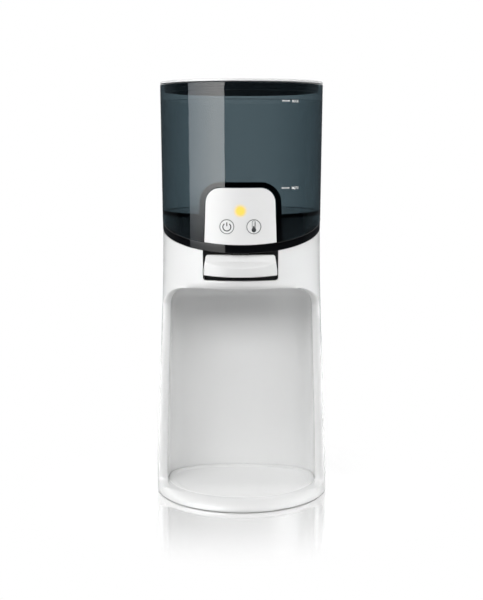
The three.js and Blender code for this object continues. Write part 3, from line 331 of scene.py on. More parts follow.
def softened(profile: Sequence[Point], radii: dict[int, float], steps: int = 6) -> list[Point]:
    """Rounds chosen corners of a profile.

    Args:
        profile: The profile's points.
        radii: The distance from each corner at which its curve starts, by the corner's place.
        steps: How many steps each curve has.

    Returns:
        The profile with those corners as smooth curves.
    """
    points: list[Point] = []
    for place, here in enumerate(profile):
        reach = radii.get(place)
        if reach is None:
            points.append(here)
            continue
        corner, following = Vector(here), Vector(profile[(place + 1) % len(profile)])
        before = corner + (Vector(profile[place - 1]) - corner).normalized() * reach
        after = corner + (following - corner).normalized() * reach
        for i in range(steps + 1):
            share = i / steps
            point = before.lerp(corner, share).lerp(corner.lerp(after, share), share)
            points.append((point.x, point.y))
    return points


def settled(piece: bpy.types.Object) -> bpy.types.Mesh:
    """Returns a new mesh that holds an object's modifiers."""
    graph = bpy.context.evaluated_depsgraph_get()
    return bpy.data.meshes.new_from_object(piece.evaluated_get(graph))


def loose_object(mesh: Mesh) -> bpy.types.Object:
    """Puts a mesh into a passing object of the scene, and frees it.

    Args:
        mesh: The mesh. It is used up.

    Returns:
        The object.
    """
    data = bpy.data.meshes.new("passing")
    mesh.to_mesh(data)
    mesh.free()
    piece = bpy.data.objects.new("passing", data)
    bpy.context.scene.collection.objects.link(piece)
    return piece


def combined(solid: Mesh, how: Cut, *tools: Mesh) -> Mesh:
    """Cuts, joins or trims a solid with others, one after the other.

    Args:
        solid: The solid that is changed. It is used up.
        how: What each tool does to it.
        *tools: The other solids. They are used up too.

    Returns:
        The new solid.
    """
    target = loose_object(solid)
    helpers = [loose_object(tool) for tool in tools]
    for helper in helpers:
        modifier = target.modifiers.new("cut", "BOOLEAN")
        modifier.operation = how.value
        modifier.solver = "MANIFOLD"
        modifier.object = helper
    data = settled(target)
    result = bmesh.new()
    result.from_mesh(data)
    bpy.data.meshes.remove(data)
    for piece in (target, *helpers):
        old = piece.data
        bpy.data.objects.remove(piece)
        bpy.data.meshes.remove(old)
    return result


def eased(
    mesh: Mesh, width: float, where: Callable[[Vector], bool], turn: float = 40.0,
    segments: int = 3,
) -> Mesh:
    """Rounds the sharp edges of a mesh that lie in a given region.

    Args:
        mesh: The mesh, changed in place.
        width: The distance from each edge at which its rounding starts.
        where: Says whether the middle of an edge lies in the region.
        turn: The least angle between an edge's faces, in degrees.
        segments: How many steps the rounding has.

    Returns:
        The same mesh.
    """
    bmesh.ops.remove_doubles(mesh, verts=mesh.verts, dist=SLIVER_GAP)
    bmesh.ops.dissolve_degenerate(mesh, edges=mesh.edges, dist=SLIVER_GAP)
    sharp = [
        edge for edge in mesh.edges
        if len(edge.link_faces) == 2
        and edge.calc_face_angle(0) > math.radians(turn)
        and where((edge.verts[0].co + edge.verts[1].co) / 2)
    ]
    bmesh.ops.bevel(
        mesh, geom=sharp, offset=width, offset_type="OFFSET", segments=segments, profile=0.5,
        affect="EDGES", material=-1, clamp_overlap=False,
    )
    return mesh


def squared_oval(half_width: float, depth: float, angle: float, power: float) -> Point:
    """Returns a point of a squared oval.

    Args:
        half_width: The oval's half width.
        depth: Its half depth.
        angle: The point's angle from +X, in radians.
        power: The exponent of the oval.

    Returns:
        The point in plan.
    """
    across, along = math.cos(angle), math.sin(angle)
    return (
        half_width * math.copysign(abs(across) ** (2 / power), across),
        depth * math.copysign(abs(along) ** (2 / power), along),
    )


def wrapped(mesh: Mesh, radius: float) -> Mesh:
    """Bends a flat relief round the axis.

    Args:
        mesh: The relief, drawn in front view, with its depth in -Y.
        radius: The radius that its back lies on.

    Returns:
        The same mesh.
    """
    for vertex in mesh.verts:
        reach = radius - vertex.co.y
        turn = math.asin(vertex.co.x / radius)
        vertex.co = Vector((reach * math.sin(turn), -reach * math.cos(turn), vertex.co.z))
    return mesh


def stroke(points: Sequence[Point], width: float, depth: float = PRINT_DEPTH) -> Mesh:
    """Makes a flat printed line through points.

    Args:
        points: The line's points in front view.
        width: Its width.
        depth: How proud it stands.

    Returns:
        The relief, with its back on the plane y = 0.
    """
    half = width / 2
    mesh = bmesh.new()
    for start, end in zip(points, points[1:]):
        first, last = Vector(start), Vector(end)
        along = (last - first).normalized()
        side = Vector((-along.y, along.x)) * half
        corners = [first + side, first - side, last - side, last + side]
        ring = ring_of(mesh, [Vector((c.x, 0, c.y)) for c in corners])
        bmesh.ops.contextual_create(mesh, geom=edges_round(ring))
    joint_reach = half * 0.4
    bmesh.ops.remove_doubles(mesh, verts=mesh.verts, dist=joint_reach)
    raised = bmesh.ops.extrude_face_region(mesh, geom=mesh.faces[:])["geom"]
    bmesh.ops.translate(mesh, vec=(0, -depth, 0), verts=vertices_in(raised))
    bmesh.ops.recalc_face_normals(mesh, faces=mesh.faces)
    return mesh


# Finishes

# What a roughness is multiplied by in a pattern's dark and bright places.
MOULDED_SWING: Point = (0.9, 1.12)
POLISHED_SWING: Point = (0.8, 1.3)


class Tree:
    """The nodes of one shader tree and the links between them."""

    def __init__(self, tree: bpy.types.NodeTree) -> None:
        """Takes a node tree in hand.

        Args:
            tree: The tree, with its output node.
        """
        self.nodes = tree.nodes
        self.links = tree.links

    def feed(self, node: bpy.types.Node, inputs: dict[str | int, Input]) -> None:
        """Links a node's inputs, or sets their own values.

        Args:
            node: The node.
            inputs: A socket or a plain value for each input.
        """
        for name, value in inputs.items():
            if isinstance(value, Socket):
                self.links.new(value, node.inputs[name])
            else:
                node.inputs[name].default_value = value

    def node(
        self, kind: str, inputs: dict[str | int, Input] | None = None, **settings: str,
    ) -> bpy.types.Node:
        """Adds a node.

        Args:
            kind: Its type.
            inputs: A socket or a plain value for each input that isn't left as it is.
            **settings: Its other settings, such as its operation.

        Returns:
            The node.
        """
        node = self.nodes.new(kind)
        for name, value in settings.items():
            setattr(node, name, value)
        self.feed(node, inputs or {})
        return node

    def maths(self, operation: str, first: Input, second: Input) -> Socket:
        """Returns what an operation makes of two values."""
        node = self.node("ShaderNodeMath", {0: first, 1: second}, operation=operation)
        return node.outputs["Value"]

    def length(self, vector: Socket) -> Socket:
        """Returns a vector's length."""
        return self.node("ShaderNodeVectorMath", {0: vector}, operation="LENGTH").outputs["Value"]

    def ranged(
        self, value: Socket, start: Point, end: Point = (0.0, 1.0), curve: str = "LINEAR",
    ) -> Socket:
        """Maps one range of values to another, and holds the ends beyond it.

        Args:
            value: The value.
            start: The range that it is mapped from.
            end: The range that it is mapped to.
            curve: How it runs from one end to the other.

        Returns:
            The mapped value.
        """
        limits = dict(zip(("From Min", "From Max", "To Min", "To Max"), (*start, *end)))
        node = self.node("ShaderNodeMapRange", {"Value": value, **limits}, interpolation_type=curve)
        return node.outputs["Result"]

    def show(self, output: str, share: Socket, first: Socket, second: Socket) -> None:
        """Sends a mix of two shaders to the tree's output.

        Args:
            output: The output node's name.
            share: How much the second one has.
            first: The first shader.
            second: The second shader.
        """
        mix = self.node("ShaderNodeMixShader", {"Fac": share, 1: first, 2: second})
        self.feed(self.nodes[output], {"Surface": mix.outputs["Shader"]})


class Graph(Tree):
    """The nodes of one material, with its main shader."""

    middle: Point = (0.3, 0.7)

    def __init__(self, name: str) -> None:
        """Starts a material with a Principled shader and Object coordinates.

        Args:
            name: The material's name.
        """
        self.material = bpy.data.materials.new(name)
        self.material.use_nodes = True
        super().__init__(self.material.node_tree)
        self.shader = self.nodes["Principled BSDF"]
        self.place = self.node("ShaderNodeTexCoord").outputs["Object"]

    def shade(self, **inputs: Input) -> None:
        """Feeds the main shader's inputs, named with _ for each space."""
        self.feed(self.shader, {name.replace("_", " "): value for name, value in inputs.items()})

    def noise(
        self, per_metre: float, detail: float = 3.0, stretch: Sequence[float] = (1, 1, 1),
    ) -> Socket:
        """Adds a noise pattern that stays on the piece.

        Args:
            per_metre: How many waves a metre has.
            detail: How many finer layers it has.
            stretch: How much denser it is along each axis.

        Returns:
            The pattern's value.
        """
        place = self.node("ShaderNodeMapping", {"Vector": self.place, "Scale": stretch})
        return self.node("ShaderNodeTexNoise", {
            "Vector": place.outputs["Vector"], "Scale": per_metre, "Detail": detail,
        }).outputs["Fac"]

    def between(self, factor: Socket, first: Colour, second: Colour) -> Socket:
        """Mixes two colours by a pattern.

        Args:
            factor: The pattern.
            first: The colour where it is 0.
            second: The colour where it is 1.

        Returns:
            The mixed colour.
        """
        ends = {"A": (*first, 1.0), "B": (*second, 1.0)}
        node = self.node("ShaderNodeMix", {"Factor": factor, **ends}, data_type="RGBA")
        return next(out for out in node.outputs if out.type == "RGBA")

    def uneven(
        self, roughness: float, swing: Point, per_metre: float, detail: float = 3.0,
        stretch: Sequence[float] = (1, 1, 1),
    ) -> None:
        """Makes the gloss uneven.

        Args:
            roughness: The roughness that it varies round.
            swing: What that is multiplied by in the pattern's dark and bright places.
            per_metre: How many waves of the pattern a metre has.
            detail: How many finer layers the pattern has.
            stretch: How much denser it is along each axis.
        """
        low, high = swing
        pattern = self.noise(per_metre, detail, stretch)
        self.shade(Roughness=self.ranged(pattern, self.middle, (roughness * low, roughness * high)))

    def bump(self, height: Socket, depth_mm: float) -> None:
        """Raises the surface by a pattern, as deep as the depth says."""
        relief = {"Height": height, "Strength": 1.0, "Distance": depth_mm * MM}
        self.shade(Normal=self.node("ShaderNodeBump", relief).outputs["Normal"])


def dimmed(colour: Colour, share: float) -> Colour:
    """Returns a colour at a share of its own brightness."""
    red, green, blue = colour
    return red * share, green * share, blue * share


@dataclass(frozen=True)
class Moulded:
    """A moulded plastic or rubber: faint mottling, uneven gloss and a fine moulded grain."""

    name: str
    colour: Colour
    roughness: float
    grain_per_metre: float = 1400.0
    grain_mm: float = 0.004
    mottle: float = 0.02
    coat: float = 0.0
    coat_roughness: float = 0.04
    mottle_per_metre: float = 38.0
    gloss_per_metre: float = 90.0

    def build(self) -> bpy.types.Material:
        """Returns the material."""
        graph = Graph(self.name)
        cloud = graph.noise(self.mottle_per_metre, detail=4.0)
        darker = dimmed(self.colour, 1 - self.mottle)
        graph.shade(Base_Color=graph.between(cloud, darker, self.colour))
        graph.uneven(self.roughness, MOULDED_SWING, self.gloss_per_metre, detail=5.0)
        graph.bump(graph.noise(self.grain_per_metre, detail=2.0), self.grain_mm)
        if self.coat:
            graph.shade(Coat_Weight=self.coat, Coat_Roughness=self.coat_roughness)
        return graph.material


@dataclass(frozen=True)
class Smoke:
    """A clear plastic that darkens with the light's way through it, with a trace of flow marks."""

    name: str
    absorbed: Colour
    density: float
    roughness: float = 0.02
    index: float = 1.49
    mark: Colour = (0.97, 0.98, 0.985)
    clear: Colour = (1, 1, 1)
    marks_per_metre: float = 16.0
    marks_stretch: Triple = (1, 1, 0.2)
    gloss_per_metre: float = 60.0

    def build(self) -> bpy.types.Material:
        """Returns the material."""
        graph = Graph(self.name)
        marks = graph.noise(self.marks_per_metre, 2.0, self.marks_stretch)
        graph.shade(Base_Color=graph.between(marks, self.mark, self.clear))
        graph.uneven(self.roughness, POLISHED_SWING, self.gloss_per_metre)
        graph.shade(Transmission_Weight=1.0, IOR=self.index)
        depth = graph.node("ShaderNodeVolumeAbsorption", {
            "Color": (*self.absorbed, 1.0), "Density": self.density,
        })
        graph.feed(graph.nodes["Material Output"], {"Volume": depth.outputs["Volume"]})
        return graph.material


@dataclass(frozen=True)
class Metal:
    """A metal with fine tool marks along one axis."""

    name: str
    colour: Colour
    roughness: float
    stretch: Triple = (1, 1, 12)
    marks_per_metre: float = 500.0
    marks_mm: float = 0.01
    marks_shade: float = 0.9
    gloss_per_metre: float = 220.0

    def build(self) -> bpy.types.Material:
        """Returns the material."""
        graph = Graph(self.name)
        marks = graph.noise(self.marks_per_metre, 4.0, self.stretch)
        darker = dimmed(self.colour, self.marks_shade)
        graph.shade(Metallic=1.0, Base_Color=graph.between(marks, darker, self.colour))
        graph.uneven(self.roughness, POLISHED_SWING, self.gloss_per_metre, stretch=self.stretch)
        graph.bump(marks, self.marks_mm)
        return graph.material


@dataclass(frozen=True)
class Glow:
    """A white plastic lit from behind in one spot, where it glows and fades into its own colour."""

    name: str
    core: Colour
    plastic: Colour
    centre_mm: Triple
    core_mm: float
    reach_mm: float
    strength: float
    roughness: float
    grain_per_metre: float = 260.0
    grain_mm: float = 0.0012
    gloss_per_metre: float = 90.0

    def build(self) -> bpy.types.Material:
        """Returns the material."""
        graph = Graph(self.name)
        centre = [-value * MM for value in self.centre_mm]
        place = graph.node("ShaderNodeMapping", {"Vector": graph.place, "Location": centre})
        flat = graph.node("ShaderNodeVectorMath", {
            0: place.outputs["Vector"], 1: (1, 0, 1),
        }, operation="MULTIPLY")
        away = graph.length(flat.outputs["Vector"])
        fade = graph.ranged(away, (self.core_mm * MM, self.reach_mm * MM), curve="SMOOTHSTEP")
        graph.shade(
            Base_Color=graph.between(fade, self.core, self.plastic),
            Emission_Color=graph.between(fade, self.core, (0, 0, 0)),
            Emission_Strength=self.strength,
        )
        graph.uneven(self.roughness, MOULDED_SWING, self.gloss_per_metre, detail=5.0)
        graph.bump(graph.noise(self.grain_per_metre, detail=2.0), self.grain_mm)
        return graph.material


@dataclass(frozen=True)
class Board:
    """A circuit board: solder resist over faint straight tracks."""

    name: str
    colour: Colour
    track: Colour
    tracks_per_metre: float = 130.0
    track_waver: float = 2.5
    track_mm: float = 0.02
    gloss_per_metre: float = 300.0
    roughness: Point = (0.3, 0.45)

    def build(self) -> bpy.types.Material:
        """Returns the material."""
        graph = Graph(self.name)
        tracks = graph.node("ShaderNodeTexWave", {
            "Vector": graph.place, "Scale": self.tracks_per_metre, "Distortion": self.track_waver,
        }, bands_direction="Z").outputs["Fac"]
        graph.shade(Base_Color=graph.between(tracks, self.colour, self.track))
        graph.uneven(1.0, self.roughness, self.gloss_per_metre)
        graph.bump(tracks, self.track_mm)
        return graph.material


WHITE = Moulded("white_gloss_plastic", (0.875, 0.878, 0.876), 0.24, 260.0, 0.0025, 0.012, 0.25)
FASCIA = Moulded("white_fascia", (0.885, 0.886, 0.884), 0.42, 260.0, 0.0012, 0.008)
TRAY_WHITE = Moulded("white_tray", (0.87, 0.872, 0.87), 0.32, 1600.0, 0.004, 0.012)
PIANO = Moulded("piano_black", (0.0025, 0.0025, 0.003), 0.06, 200.0, 0.001, 0.2)
BLACK = Moulded("black_grained_plastic", (0.014, 0.0145, 0.016), 0.42, 1500.0, 0.012, 0.2)
RUBBER = Moulded("black_rubber", (0.022, 0.022, 0.023), 0.72, 2200.0, 0.02, 0.2)
SILICONE = Moulded("milky_silicone", (0.62, 0.62, 0.60), 0.5, 1200.0, 0.008, 0.06)
# Dark silicone: the gasket's own colour, and painted shade where the lid plug wears it.
NAVY_SILICONE_AND_PAINTED_SHADE = Moulded("dark_silicone_and_painted_shade", (0.012, 0.018, 0.030), 0.45, 1200.0, 0.006, 0.1)
GREY = Moulded("grey_heatproof_plastic", (0.33, 0.335, 0.34), 0.48, 1500.0, 0.01, 0.06)
CERAMIC = Moulded("white_ceramic", (0.72, 0.72, 0.70), 0.3, 700.0, 0.004, 0.04)
PRINT_GREY = Moulded("grey_print", (0.04, 0.041, 0.045), 0.4, 1800.0, 0.002, 0.08)
RING_GREY = Moulded("ring_print", (0.15, 0.153, 0.158), 0.4, 1800.0, 0.002, 0.05)
PRINT_WHITE = Moulded("white_print", (0.88, 0.88, 0.88), 0.4, 1800.0, 0.002, 0.02)
SMOKE = Smoke("smoke_tank", (0.229, 0.334, 0.374), 700.0)
STEEL = Metal("bright_steel", (0.62, 0.63, 0.65), 0.24)
ALUMINIUM = Metal("blasted_aluminium", (0.60, 0.61, 0.63), 0.42, (1, 1, 1))
LIGHT_HEIGHT = 257.278
LIT_FASCIA = Glow(
    "lit_fascia", (1.0, 0.73, 0.12), FASCIA.colour, (0, -70, LIGHT_HEIGHT), 2.4, 6.4, 0.2,
    FASCIA.roughness,
)
LENS = replace(LIT_FASCIA, name="status_lens")
LED = Glow(
    "status_led_lit", (1.0, 0.8, 0.2), (0.6, 0.45, 0.15), (0, -60, 257.3), 0.5, 3.0, 1.5, 0.1,
)
BOARD = Board("green_board", (0.012, 0.09, 0.045), (0.02, 0.13, 0.07))

Finish = Moulded | Smoke | Metal | Glow | Board


class Workshop:
    """Finishes pieces, hands out their materials and makes each material once."""

    def __init__(self) -> None:
        """Starts with no materials made."""
        self.materials: dict[str, bpy.types.Material] = {}

    def material(self, finish: Finish) -> bpy.types.Material:
        """Returns the material of a finish, made on first use.

        Args:
            finish: The finish.

        Returns:
            Its material.
        """
        if finish.name not in self.materials:
            self.materials[finish.name] = finish.build()
        return self.materials[finish.name]

    def finished(
        self, name: str, mesh: Mesh, body: str, finish: Finish,
        replaces: Sequence[str] = (), sharp: float = 32.0,
    ) -> bpy.types.Object:
        """Turns a mesh in millimetres into a piece that rides on a body.

        Args:
            name: The piece's name.
            mesh: Its mesh. It is used up.
            body: The body that it rides on.
            finish: Its finish.
            replaces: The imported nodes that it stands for.
            sharp: The angle, in degrees, above which an edge is shaded as an edge.

        Returns:
            The piece.
        """
        bmesh.ops.scale(mesh, vec=(MM, MM, MM), verts=mesh.verts)
        data = bpy.data.meshes.new(name)
        mesh.to_mesh(data)
        mesh.free()
        data.shade_smooth()
        data.set_sharp_from_angle(angle=math.radians(sharp))
        data.materials.append(self.material(finish))
        piece = bpy.data.objects.new(name, data)
        bpy.context.scene.collection.objects.link(piece)
        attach(piece, body)
        if replaces:
            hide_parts(*replaces)
        even = piece.modifiers.new("even_shading", "WEIGHTED_NORMAL")
        even.keep_sharp = True
        LOG.info("%s: %d faces on %s", name, len(data.polygons), body)
        return piece

    def dress(self, finish: Finish, *nodes: str) -> None:
        """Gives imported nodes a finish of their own.

        Args:
            finish: The finish.
            *nodes: The nodes' names.
        """
        for node in nodes:
            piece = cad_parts[node]
            for slot in piece.material_slots:
                slot.material = self.material(finish)
            LOG.info("%s: dressed as %s", node, finish.name)


# The object


@dataclass(frozen=True)
class Seam:
    """The slanted seam: one slope to the front, and level behind a soft knee."""

    axis_height: float = 239.8
    fall: float = 0.26
    band: float = 7.1
    gap: float = 0.3
    back_height: float = 243.3
    knee_run: float = 8.0
    knee_steps: int = 10
    sky: float = 400.0

    def height(self, depth: float) -> float:
        """Returns the height of the band's lower edge at a depth."""
        return min(self.axis_height + self.fall * depth, self.back_height)

    def above(self, lift: float) -> Mesh:
        """Makes the solid of all space above the seam.

        Args:
            lift: How far above the band's lower edge it starts.

        Returns:
            The solid.
        """
        knee = (self.back_height - self.axis_height) / self.fall
        start = Vector((knee - self.knee_run, self.height(knee - self.knee_run)))
        corner = Vector((knee, self.back_height))
        end = Vector((knee + self.knee_run, self.back_height))
        shares = [i / self.knee_steps for i in range(self.knee_steps + 1)]
        curve = [start.lerp(corner, share).lerp(corner.lerp(end, share), share) for share in shares]
        front, back = (-BEYOND, self.height(-BEYOND)), (BEYOND, self.back_height)
        line = [(depth, height + lift) for depth, height in (front, *curve, back)]
        outline = [*line, (BEYOND, self.sky), (-BEYOND, self.sky)]
        return prism(Plane.SIDE, outline, -BEYOND, BEYOND)


SEAM = Seam()


@dataclass(frozen=True)
class Bosses:
    """The screw bosses over the base: a pair in the front housing and a pair in the rear cover."""

    front: Point = (44.2, 39.75)
    rear: Point = (22.0, 68.2)
    radius: float = 3.6
    foot: float = 4.2
    top: float = 18.2
    bore: float = 1.4
    bore_foot: float = 2.0
    bore_top: float = 16.2

    def pair(self, place: Point, bored: bool = False) -> list[Mesh]:
        """Makes the two bosses at a place, or the bores in them.

        Args:
            place: How far across and behind the axis they stand.
            bored: Whether the bores are meant.

        Returns:
            The two solids.
        """
        across, behind = place
        sizes = (self.radius, self.foot, self.top)
        if bored:
            sizes = (self.bore, self.bore_foot, self.bore_top)
        return [rod(Plane.PLAN, (hand * across, behind), *sizes) for hand in (-1, 1)]


BOSSES = Bosses()
# The places in plan of the outlet in the tank's floor and of the spout over the niche.
OUTLET: Point = (0.0, 25.0)
SPOUT: Point = (0.0, -8.0)


@dataclass(frozen=True)
class Housing:
    """The white housing: a flared column, opened at the front by the bottle niche."""

    neck_radius: float = 69.7
    flare: float = 7.25
    flare_height: float = 235.0
    foot: float = 0.3
    foot_ease: float = 0.6
    wall: float = 2.4
    floor: float = 9.0
    ceiling: float = 190.5
    half_width: float = 61.6
    splay: float = 5.2
    back: float = 39.5
    squareness: float = 2.6
    top_corner: float = 20.0
    foot_corner: float = 5.0
    blend_run: float = 12.0
    nose_share: float = 0.4
    lip: float = 6.3
    draw_power: int = 6
    top: float = 250.7
    neck_heights: tuple[float, ...] = (200.0, 208.0, 216.0, 224.0, 235.0)
    split: float = 48.0
    split_gap: float = 0.3
    opening_half_width: float = 31.6
    opening_foot: float = 198.7
    opening_corner: float = 2.5
    opening_edge: float = 0.7
    chamber_front: float = 9.0
    chamber_squareness: float = 3.0
    chamber_heights: tuple[float, ...] = (2.2, 40.0, 80.0, 120.0, 160.0)
    recess_top: float = 4.2
    post_spacing: float = 18.0
    post_heights: Point = (52.0, 112.0)
    post_radius: float = 2.5
    post_back: float = 51.7
    inlet_half_width: float = 12.3
    inlet_foot: float = 14.2
    inlet_top: float = 27.8
    inlet_corner: float = 3.3
    inlet_front: float = 60.0
    inlet_edge: float = 0.5
    spout_hole: float = 5.8
    arc_steps: int = 132
    nose_steps: int = 10
    niche_steps: int = 84
    ease_steps: int = 4
    rim_steps: int = 18
    foot_corner_steps: int = 12
    wall_steps: int = 16
    top_corner_steps: int = 16
    lip_steps: int = 10
    smoothing_rounds: int = 10

    def flared(self, height: float) -> float:
        """Returns the share of the whole flare at a height, from 1 at the foot to 0 at the neck."""
        share = min(max(height / self.flare_height, 0), 1)
        return (1 + math.cos(math.pi * share)) / 2

    def radius(self, height: float) -> float:
        """Returns the outer radius at a height."""
        return self.neck_radius + self.flare * self.flared(height)

    def side(self, height: float) -> float:
        """Returns the niche's half width at a height. It follows the flare."""
        return self.half_width + self.splay * self.flared(height)

    def nose(self, height: float) -> float:
        """Returns the radius of the round noses beside the niche at a height."""
        return (self.radius(height) - self.side(height)) * self.nose_share

    def nose_angle(self, height: float, mouth: float) -> float:
        """Returns the angle from the front at which a nose starts."""
        nose = self.nose(height)
        return math.asin((mouth + nose) / (self.radius(height) - nose))

    def outer_arc(self, radius: float, angle: float, height: float) -> list[Vector]:
        """Returns the outer wall from the right nose round the back to the left nose.

        Args:
            radius: The wall's radius.
            angle: The noses' angle from the front.
            height: The level's height.

        Returns:
            The points, counter-clockwise.
        """
        span = FULL_TURN - 2 * angle
        turns = [angle + span * i / self.arc_steps for i in range(self.arc_steps + 1)]
        return [Vector((radius * math.sin(t), -radius * math.cos(t), height)) for t in turns]

    def open_outline(self, height: float, mouth: float, side: float, back: float) -> list[Vector]:
        """Returns the outline of a level that the niche cuts.

        Args:
            height: The level's height.
            mouth: The niche's half width between the noses.
            side: Its half width behind them.
            back: Its depth behind the axis.

        Returns:
            The points of a C with round noses, counter-clockwise.
        """
        radius = self.radius(height)
        angle, nose = self.nose_angle(height, mouth), self.nose(height)
        across = mouth + nose
        along = math.sqrt((radius - nose) ** 2 - across ** 2)

        def nose_point(direction: float, hand: int) -> Vector:
            """Returns a point of a nose, on the hand side."""
            x, y = nose * math.sin(direction), nose * math.cos(direction)
            return Vector((hand * across + x, -along - y, height))

        points = self.outer_arc(radius, angle, height)
        turns = [(angle + QUARTER_TURN) * i / self.nose_steps for i in range(self.nose_steps + 1)]
        points += [nose_point(turn - angle, -1) for turn in turns[1:]]
        points.append(Vector((-side, self.blend_run - along, height)))
        for i in range(self.niche_steps + 1):
            x, y = squared_oval(side, back, math.pi * (1 - i / self.niche_steps), self.squareness)
            points.append(Vector((x, y, height)))
        points.append(Vector((side, self.blend_run - along, height)))
        points += [nose_point(turn - QUARTER_TURN, 1) for turn in turns[:-1]]
        return points

    def closed_outline(
        self, height: float, mouth: float, drawn: Callable[[float], float],
    ) -> list[Vector]:
        """Returns the outline of a level above or below the niche.

        Args:
            height: The level's height.
            mouth: The niche's half width, which sets where the points lie.
            drawn: Gives how far the front is drawn in at an angle from the front.

        Returns:
            The points, counter-clockwise.
        """
        radius = self.radius(height)
        angle = self.nose_angle(height, mouth)
        points = self.outer_arc(radius, angle, height)
        count = 2 * self.nose_steps + self.niche_steps + 3
        for i in range(1, count + 1):
            share = 2 * i / (count + 1) - 1
            turn = angle * share
            reach = radius - drawn(turn) * (1 - share ** self.draw_power)
            points.append(Vector((reach * math.sin(turn), -reach * math.cos(turn), height)))
        return points

    def rim(self, angle: float) -> float:
        """Returns how far the front rim runs in to the tray, at an angle from the front.

        Args:
            angle: The angle from the front.

        Returns:
            The distance at the floor's height.
        """
        tray = Tray()
        across, along = math.sin(angle) / tray.half_width, math.cos(angle) / tray.front
        return self.radius(self.floor) - 1 / math.hypot(across, along)

    def foot_levels(self) -> list[list[Vector]]:
        """Returns the levels from the ground to the niche's floor, where the rim meets the tray."""
        mouth = self.side(self.floor) - self.foot_corner
        low = self.foot + self.foot_ease
        levels = []
        for turn in quarter_turns(self.ease_steps):
            height = self.foot + self.foot_ease * (1 - math.cos(turn))
            inset = 1 - self.foot_ease * (1 - math.sin(turn)) / self.neck_radius
            ring = self.closed_outline(height, mouth, lambda _: 0.0)
            levels.append([Vector((p.x * inset, p.y * inset, p.z)) for p in ring])
        for turn in quarter_turns(self.rim_steps)[1:]:
            height = low + (self.floor - low) * math.sin(turn)
            run = 1 - math.cos(turn)
            levels.append(self.closed_outline(height, mouth, lambda angle: run * self.rim(angle)))
        return levels

    def niche_levels(self) -> list[list[Vector]]:
        """Returns the levels that the niche cuts, from its round foot to its round top."""
        foot_mouth = self.side(self.floor) - self.foot_corner
        low, high = self.floor + self.foot_corner, self.ceiling - self.top_corner
        levels = []
        for turn in quarter_turns(self.foot_corner_steps):
            mouth = foot_mouth + self.foot_corner * math.sin(turn)
            height = self.floor + self.foot_corner * (1 - math.cos(turn))
            levels.append(self.open_outline(height, mouth, self.side(height), self.back))
        for i in range(1, self.wall_steps):
            height = low + (high - low) * i / self.wall_steps
            side = self.side(height)
            levels.append(self.open_outline(height, side, side, self.back))
        for turn in quarter_turns(self.top_corner_steps):
            inset = self.top_corner * (1 - math.cos(turn))
            height = high + self.top_corner * math.sin(turn)
            side = self.side(height) - inset
            levels.append(self.open_outline(height, side, side, self.back - inset))
        return levels

    def head_levels(self) -> list[list[Vector]]:
        """Returns the levels over the niche, from the lip of its ceiling to the top."""
        mouth = self.side(self.ceiling) - self.top_corner
        levels = []
        for turn in quarter_turns(self.lip_steps):
            height = self.ceiling + self.lip * (1 - math.cos(turn))
            drawn = self.lip * (1 - math.sin(turn))
            levels.append(self.closed_outline(height, mouth, lambda _: drawn))
        for height in (*self.neck_heights, self.top):
            levels.append(self.closed_outline(height, mouth, lambda _: 0.0))
        return levels

    def in_foot_corner(self, place: Vector) -> bool:
        """Says whether a place lies where a column runs into the rim, inside the outer wall.

        Args:
            place: The place.

        Returns:
            Whether it does.
        """
        low, high, beside, front, skin = 3.5, 18.0, 50.0, -20.0, 0.4
        within = place.xy.length < self.radius(place.z) - skin
        return low < place.z < high and abs(place.x) > beside and place.y < front and within

    def blank(self) -> Mesh:
        """Returns the body with its niche, before it is hollowed."""
        body = loft([*self.foot_levels(), *self.niche_levels(), *self.head_levels()])
        corners = [vertex for vertex in body.verts if self.in_foot_corner(vertex.co)]
        for _ in range(self.smoothing_rounds):
            bmesh.ops.smooth_vert(
                body, verts=corners, factor=0.5, use_axis_x=True, use_axis_y=True, use_axis_z=True,
            )
        return body

    def chambers(self) -> list[Mesh]:
        """Returns the hollows above and behind the niche and under the base."""
        low, high, under = self.ceiling + self.wall, self.top + 2, -2
        upper = revolve([
            (0, low), (self.radius(low) - self.wall, low),
            (self.radius(self.top) - self.wall, high), (0, high),
        ])
        front, back, power = self.chamber_front, self.back + self.wall, self.chamber_squareness
        start = math.asin((front / back) ** (power / 2))
        steps = self.niche_steps
        sweep = [start + (math.pi - 2 * start) * i / steps for i in range(steps, -1, -1)]
        rings = []
        for height in (*self.chamber_heights, low + 2):
            radius, side = self.radius(height) - self.wall, self.side(height) + self.wall
            outer = self.outer_arc(radius, QUARTER_TURN + math.asin(front / radius), height)
            inner = [squared_oval(side, back, angle, power) for angle in sweep]
            rings.append([*outer, *(Vector((x, y, height)) for x, y in inner)])
        recess = drum(self.radius(0) - self.wall, under, self.recess_top)
        return [upper, loft(rings), recess]

    def opening(self, grow: float = 0.0) -> list[Point]:
        """Returns the outline of the lever's opening, grown by a distance.

        Args:
            grow: The distance.

        Returns:
            The points, in order.
        """
        return rounded_box(
            self.opening_half_width + grow, self.opening_foot - grow, self.top,
            self.opening_corner + grow,
        )

